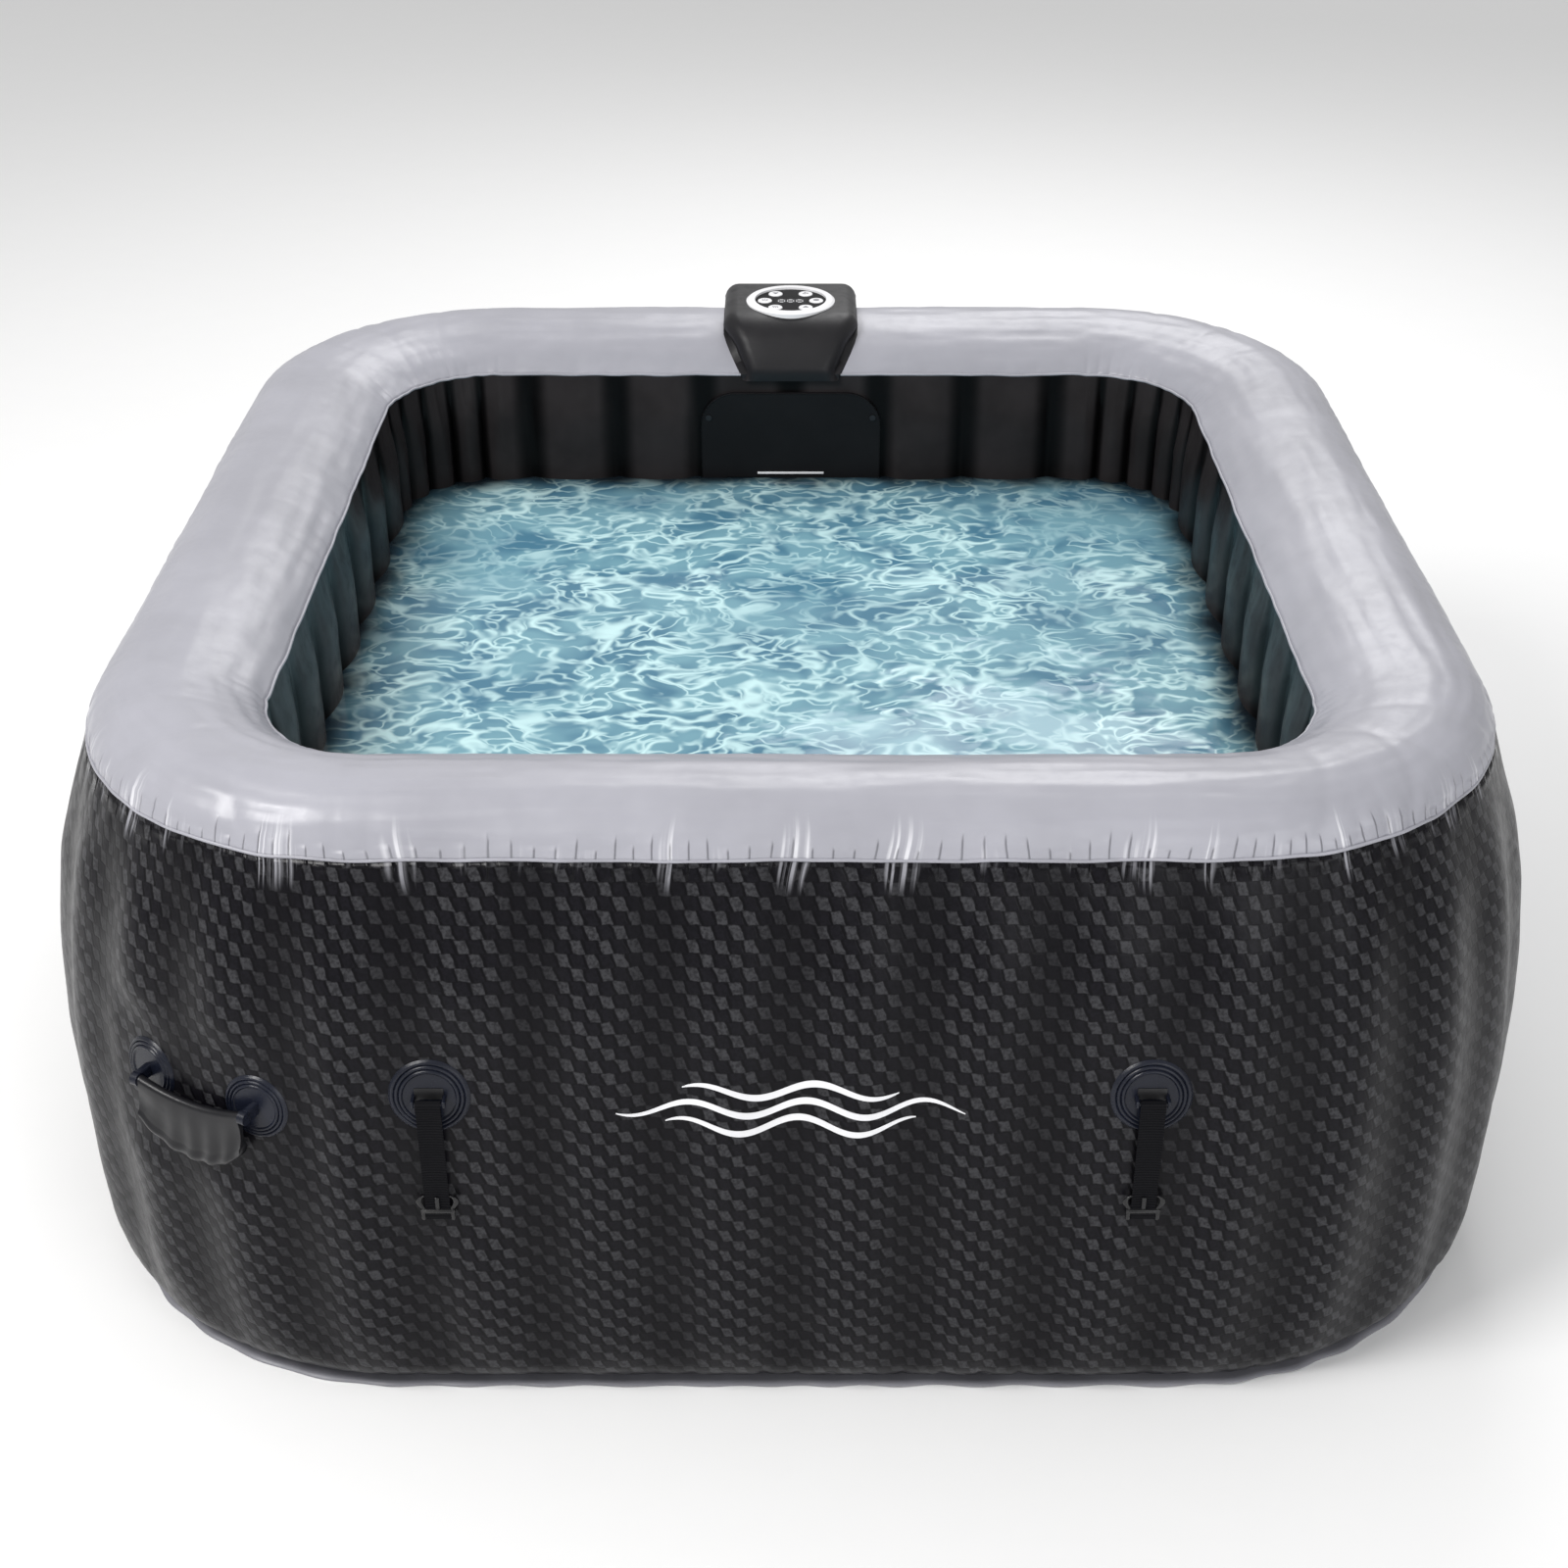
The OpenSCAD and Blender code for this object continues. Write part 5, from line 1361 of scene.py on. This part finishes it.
class HOTTUB_OT_buttons(bpy.types.Operator):
    """Six white caps, each with a small grey sign"""
    bl_idname = "hottub.buttons"
    bl_label = "Buttons"

    def execute(self, context):
        white = plain_finish("Button plastic", (0.80, 0.80, 0.82), 0.22, 0.34, 0.95, 1500.0, 0.00004, coat=0.3)
        grey = plain_finish("Sign ink", (0.16, 0.16, 0.18), 0.4, 0.5)
        for n in BUTTONS:
            low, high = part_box(f"button_{n}")
            middle = (low + high) / 2
            radius = 0.0100
            bm = bmesh.new()
            base, top = high.z - 0.0060, high.z
            turned(bm, [(0.0, base), (radius, base), (radius, top - 0.0012), (radius - 0.0003, top - 0.0005),
                        (radius - 0.0010, top - 0.0001), (radius - 0.0022, top), (0.0, top - 0.0001)], 44)
            made = set(bm.faces)
            h = top - 0.0001
            if n == 1:
                ring_mark(bm, 0.0040, 0.0008, h, radians(130), radians(410))
                mark(bm, [(-0.0005, 0.001), (0.0005, 0.001), (0.0005, 0.0050), (-0.0005, 0.0050)], h)
            elif n == 2:
                for x in (-0.0028, 0.0, 0.0028):
                    left = [(x + 0.0008 * sin(2 * pi * i / 8) - 0.0004, -0.0040 + 0.001 * i) for i in range(9)]
                    right = [(x + 0.0008 * sin(2 * pi * i / 8) + 0.0004, -0.0040 + 0.001 * i)
                             for i in range(8, -1, -1)]
                    mark(bm, left + right, h)
            elif n in (3, 6):
                k = 1 if n == 3 else -1
                mark(bm, [(-0.0042, -0.0026 * k), (0.0042, -0.0026 * k), (0.0, 0.0042 * k)], h)
            elif n == 4:
                ring_mark(bm, 0.0042, 0.0008, h)
                ring_mark(bm, 0.0024, 0.0008, h)
            else:
                for x, y, r in ((-0.0018, -0.0018, 0.0022), (0.0026, 0.0, 0.0016), (-0.0006, 0.0032, 0.0013)):
                    ring_mark(bm, r, 0.0006, h, centre=(x, y))
            for face in bm.faces:
                if face not in made:
                    face.material_index = 1
            bmesh.ops.translate(bm, vec=(middle.x, middle.y, 0), verts=bm.verts)
            settle(bm, f"Button_{n}", f"button_{n}", [white, grey], [f"button_{n}"], sharp=45)
        return {"FINISHED"}


class HOTTUB_OT_display(bpy.types.Operator):
    """Three seven-bar digits in the display window"""
    bl_idname = "hottub.display"
    bl_label = "Display digits"

    def execute(self, context):
        low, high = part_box("display_window")
        middle = (low + high) / 2
        finish = plain_finish("Digit bars", (0.60, 0.60, 0.62), 0.4, 0.5)
        bm = bmesh.new()
        wide, tall = 0.20 * (high.x - low.x), 0.66 * (high.y - low.y)
        bar = 0.20 * wide
        for digit in (-1, 0, 1):
            cx = digit * 1.5 * wide
            for y in (-tall / 2, 0.0, tall / 2):
                x0 = cx - wide / 2 + bar * 0.7
                x1 = cx + wide / 2 - bar * 0.7
                mark(bm, [(x0, y), (x0 + bar / 2, y - bar / 2), (x1 - bar / 2, y - bar / 2), (x1, y),
                          (x1 - bar / 2, y + bar / 2), (x0 + bar / 2, y + bar / 2)], high.z, 0.0002)
            for x in (-wide / 2, wide / 2):
                for y0, y1 in ((-tall / 2 + bar * 0.7, -bar * 0.7), (bar * 0.7, tall / 2 - bar * 0.7)):
                    mark(bm, [(cx + x, y0), (cx + x + bar / 2, y0 + bar / 2), (cx + x + bar / 2, y1 - bar / 2),
                              (cx + x, y1), (cx + x - bar / 2, y1 - bar / 2), (cx + x - bar / 2, y0 + bar / 2)],
                         high.z, 0.0002)
        bmesh.ops.translate(bm, vec=(middle.x, middle.y, 0), verts=bm.verts)
        settle(bm, "Display_digits", "tub", [finish])
        return {"FINISHED"}


class HOTTUB_OT_plate_trim(bpy.types.Operator):
    """Raised border and water level line on the inner plate"""
    bl_idname = "hottub.plate_trim"
    bl_label = "Plate trim"

    def execute(self, context):
        low, high = FRONT_PLATE
        width, height = high.x - low.x, high.z - low.z
        centre_z = (low.z + high.z) / 2
        face_y = low.y
        edge = plain_finish("Plate border", (0.024, 0.024, 0.027), 0.3, 0.42)
        bm = bmesh.new()
        points = rounded_outline(width, height, 0.048, 10)
        for x, z in points[:-1]:
            bm.verts.new((x, face_y, centre_z + z))
        bmesh.ops.remove_doubles(bm, verts=bm.verts, dist=1e-6)
        face = [bm.faces.new(bm.verts)]
        bmesh.ops.inset_region(bm, faces=face, thickness=0.009, use_boundary=True)
        bmesh.ops.delete(bm, geom=face, context="FACES_ONLY")
        draw_out(bm, list(bm.faces), (0, -0.0016, 0))
        settle(bm, "Plate_border", "tub", [edge])
        ink = plain_finish("Level ink", (0.74, 0.74, 0.76), 0.4, 0.5, 0.95)
        bm = bmesh.new()
        rounded_block(bm, (0.093, 0.0008, 0.0032), (0, face_y - 0.0003, tub().shell.water_level + 0.0075), 0.0003, 2)
        settle(bm, "Level_line", "tub", [ink])
        return {"FINISHED"}


class HOTTUB_OT_cad_finishes(bpy.types.Operator):
    """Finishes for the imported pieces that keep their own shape"""
    bl_idname = "hottub.cad_finishes"
    bl_label = "Finishes of the packed pieces"

    def execute(self, context):
        black = plain_finish("Plate plastic", (0.008, 0.008, 0.009), 0.30, 0.42, 0.8, 1600.0, 0.0001, specular=0.12)
        chosen = {
            "base_sheet": plain_finish("Base vinyl", (0.045, 0.045, 0.05), 0.5, 0.65),
            "floor_liner": plain_finish("Floor vinyl", (0.05, 0.10, 0.13), 0.3, 0.4),
            "beam_webs": plain_finish("Beam vinyl", (0.09, 0.09, 0.10), 0.4, 0.55),
            "bubble_channel": plain_finish("Channel vinyl", (0.07, 0.08, 0.10), 0.35, 0.5),
            "air_valve_body": plain_finish("Valve plastic", (0.06, 0.06, 0.07), 0.35, 0.5),
            "air_valve_cap": plain_finish("Cap plastic", (0.028, 0.028, 0.033), 0.28, 0.42),
            "pump_housing": plain_finish("Housing plastic", (0.04, 0.04, 0.045), 0.4, 0.55),
            "front_plate": black, "filter_cover": black,
            "rear_cover": plain_finish("Cover plastic", (0.014, 0.014, 0.016), 0.34, 0.46, 0.8, 1500.0, 0.00014,
                                       specular=0.25),
            "filter_cartridge": pleated_finish(),
            "return_nozzle": plain_finish("Nozzle plastic", (0.03, 0.03, 0.034), 0.3, 0.42),
            "pump_impeller": plain_finish("Impeller plastic", (0.5, 0.5, 0.5), 0.3, 0.4),
            "pump_motor": plain_finish("Motor paint", (0.24, 0.25, 0.27), 0.35, 0.5, metal=0.6),
            "heater_tube": plain_finish("Brushed steel", (0.55, 0.55, 0.57), 0.25, 0.4, 0.9, 500.0, 0.00006, 1.0,
                                        stretch=(0.05, 1.0, 1.0)),
            "air_blower": plain_finish("Blower plastic", (0.08, 0.08, 0.09), 0.4, 0.55),
            "hoses": plain_finish("Hose rubber", (0.2, 0.21, 0.23), 0.5, 0.65),
            "cable_gland": plain_finish("Gland plastic", (0.011, 0.011, 0.012), 0.4, 0.55),
            "power_board": board_finish(), "control_board": board_finish(),
            "head_saddle": plain_finish("Saddle rubber", (0.02, 0.02, 0.022), 0.6, 0.75),
            "bezel_ring": plain_finish("Bezel plastic", (0.82, 0.82, 0.84), 0.16, 0.26, 0.96, 1500.0, 0.00003,
                                       coat=0.4),
            "panel_face": plain_finish("Panel plastic", (0.006, 0.006, 0.007), 0.30, 0.42, 0.8, 1500.0, 0.00003,
                                       specular=0.04),
            "display_window": plain_finish("Display window", (0.016, 0.016, 0.018), 0.30, 0.40, 0.8, specular=0.04),
            "unit_screws": plain_finish("Screw steel", (0.030, 0.030, 0.033), 0.3, 0.42, metal=0.7),
        }
        chosen["drain_valve_body"] = chosen["air_valve_body"]
        chosen["drain_valve_cap"] = chosen["air_valve_cap"]
        chosen["pump_volute"] = chosen["pump_housing"]
        for node, finish in chosen.items():
            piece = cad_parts[node]
            if not piece.data.materials:
                piece.data.materials.append(finish)
            for i in range(len(piece.data.materials)):
                piece.data.materials[i] = finish
        return {"FINISHED"}


class HOTTUB_OT_stage(bpy.types.Operator):
    """Camera, soft studio lights and a pale floor"""
    bl_idname = "hottub.stage"
    bl_label = "Stage"

    def execute(self, context):
        scene = context.scene
        scene.view_settings.view_transform = "Standard"
        lens = bpy.data.cameras.new("Camera")
        lens.sensor_width = 36.0
        lens.lens = 52.5
        lens.shift_x = -0.0042
        lens.shift_y = 0.0131
        lens.clip_end = 60.0
        camera = bpy.data.objects.new("Camera", lens)
        camera.location = (0.0, -2.476, 1.735)
        camera.rotation_euler = (radians(59.0), 0.0, 0.0)
        scene.collection.objects.link(camera)
        scene.camera = camera
        for name, place, aim, size, power, tone in (
                ("Key", (-2.3, -1.9, 3.4), (0, -0.1, 0.4), 1.6, 120.0, (1.0, 0.99, 0.98)),
                ("Front_fill", (1.8, -3.4, 1.6), (0, 0, 0.4), 2.4, 34.0, (0.97, 0.98, 1.0)),
                ("Back", (0.6, 2.8, 3.2), (0, 0, 0.5), 2.2, 60.0, (1.0, 1.0, 1.0))):
            lamp = bpy.data.lights.new(name, "AREA")
            lamp.shape = "DISK"
            lamp.size = size
            lamp.energy = power
            lamp.color = tone
            light = bpy.data.objects.new(name, lamp)
            light.location = place
            light.rotation_euler = (Vector(aim) - Vector(place)).to_track_quat("-Z", "Y").to_euler()
            scene.collection.objects.link(light)
        world = bpy.data.worlds.new("Studio")
        world.use_nodes = True
        world.node_tree.nodes["Background"].inputs["Color"].default_value = (1.0, 1.0, 1.0, 1.0)
        world.node_tree.nodes["Background"].inputs["Strength"].default_value = 0.62
        scene.world = world
        bm = bmesh.new()
        bmesh.ops.create_grid(bm, x_segments=1, y_segments=1, size=20.0)
        mesh = bpy.data.meshes.new("Floor")
        bm.to_mesh(mesh)
        bm.free()
        mesh.materials.append(plain_finish("Studio floor", (0.90, 0.90, 0.90), 0.6, 0.7, 0.995, 300.0, 0.00001))
        floor = bpy.data.objects.new("Floor", mesh)
        floor.location = (0, 0, -0.0005)
        scene.collection.objects.link(floor)
        return {"FINISHED"}


# ---- panel and start ---------------------------------------------------------------

OPERATORS = (HOTTUB_OT_stage, HOTTUB_OT_outer_wall, HOTTUB_OT_inner_wall, HOTTUB_OT_rim, HOTTUB_OT_flange,
             HOTTUB_OT_water, HOTTUB_OT_patches, HOTTUB_OT_webbing, HOTTUB_OT_buckles, HOTTUB_OT_handles,
             HOTTUB_OT_emblem, HOTTUB_OT_head, HOTTUB_OT_buttons, HOTTUB_OT_display, HOTTUB_OT_plate_trim,
             HOTTUB_OT_cad_finishes)


class HOTTUB_PT_sidebar(bpy.types.Panel):
    """Makes the tub's pieces and sets their sizes and colours"""
    bl_idname = "HOTTUB_PT_sidebar"
    bl_label = "Hot tub"
    bl_space_type = "VIEW_3D"
    bl_region_type = "UI"
    bl_category = "Hot tub"

    def draw(self, context):
        layout = self.layout
        for group in (tub().shell, tub().fittings, tub().colours):
            box = layout.box()
            for field in group.__annotations__:
                box.prop(group, field)
        for kind in OPERATORS:
            layout.operator(kind.bl_idname)


CLASSES = (HotTubShell, HotTubFittings, HotTubColours, HotTub, *OPERATORS, HOTTUB_PT_sidebar)


def register():
    for kind in CLASSES:
        bpy.utils.register_class(kind)
    bpy.types.Scene.hot_tub = bpy.props.PointerProperty(type=HotTub)


def unregister():
    del bpy.types.Scene.hot_tub
    for kind in reversed(CLASSES):
        bpy.utils.unregister_class(kind)


def main():
    register()
    for kind in OPERATORS:
        group, name = kind.bl_idname.split(".")
        getattr(getattr(bpy.ops, group), name)()


if __name__ == "__main__":
    main()
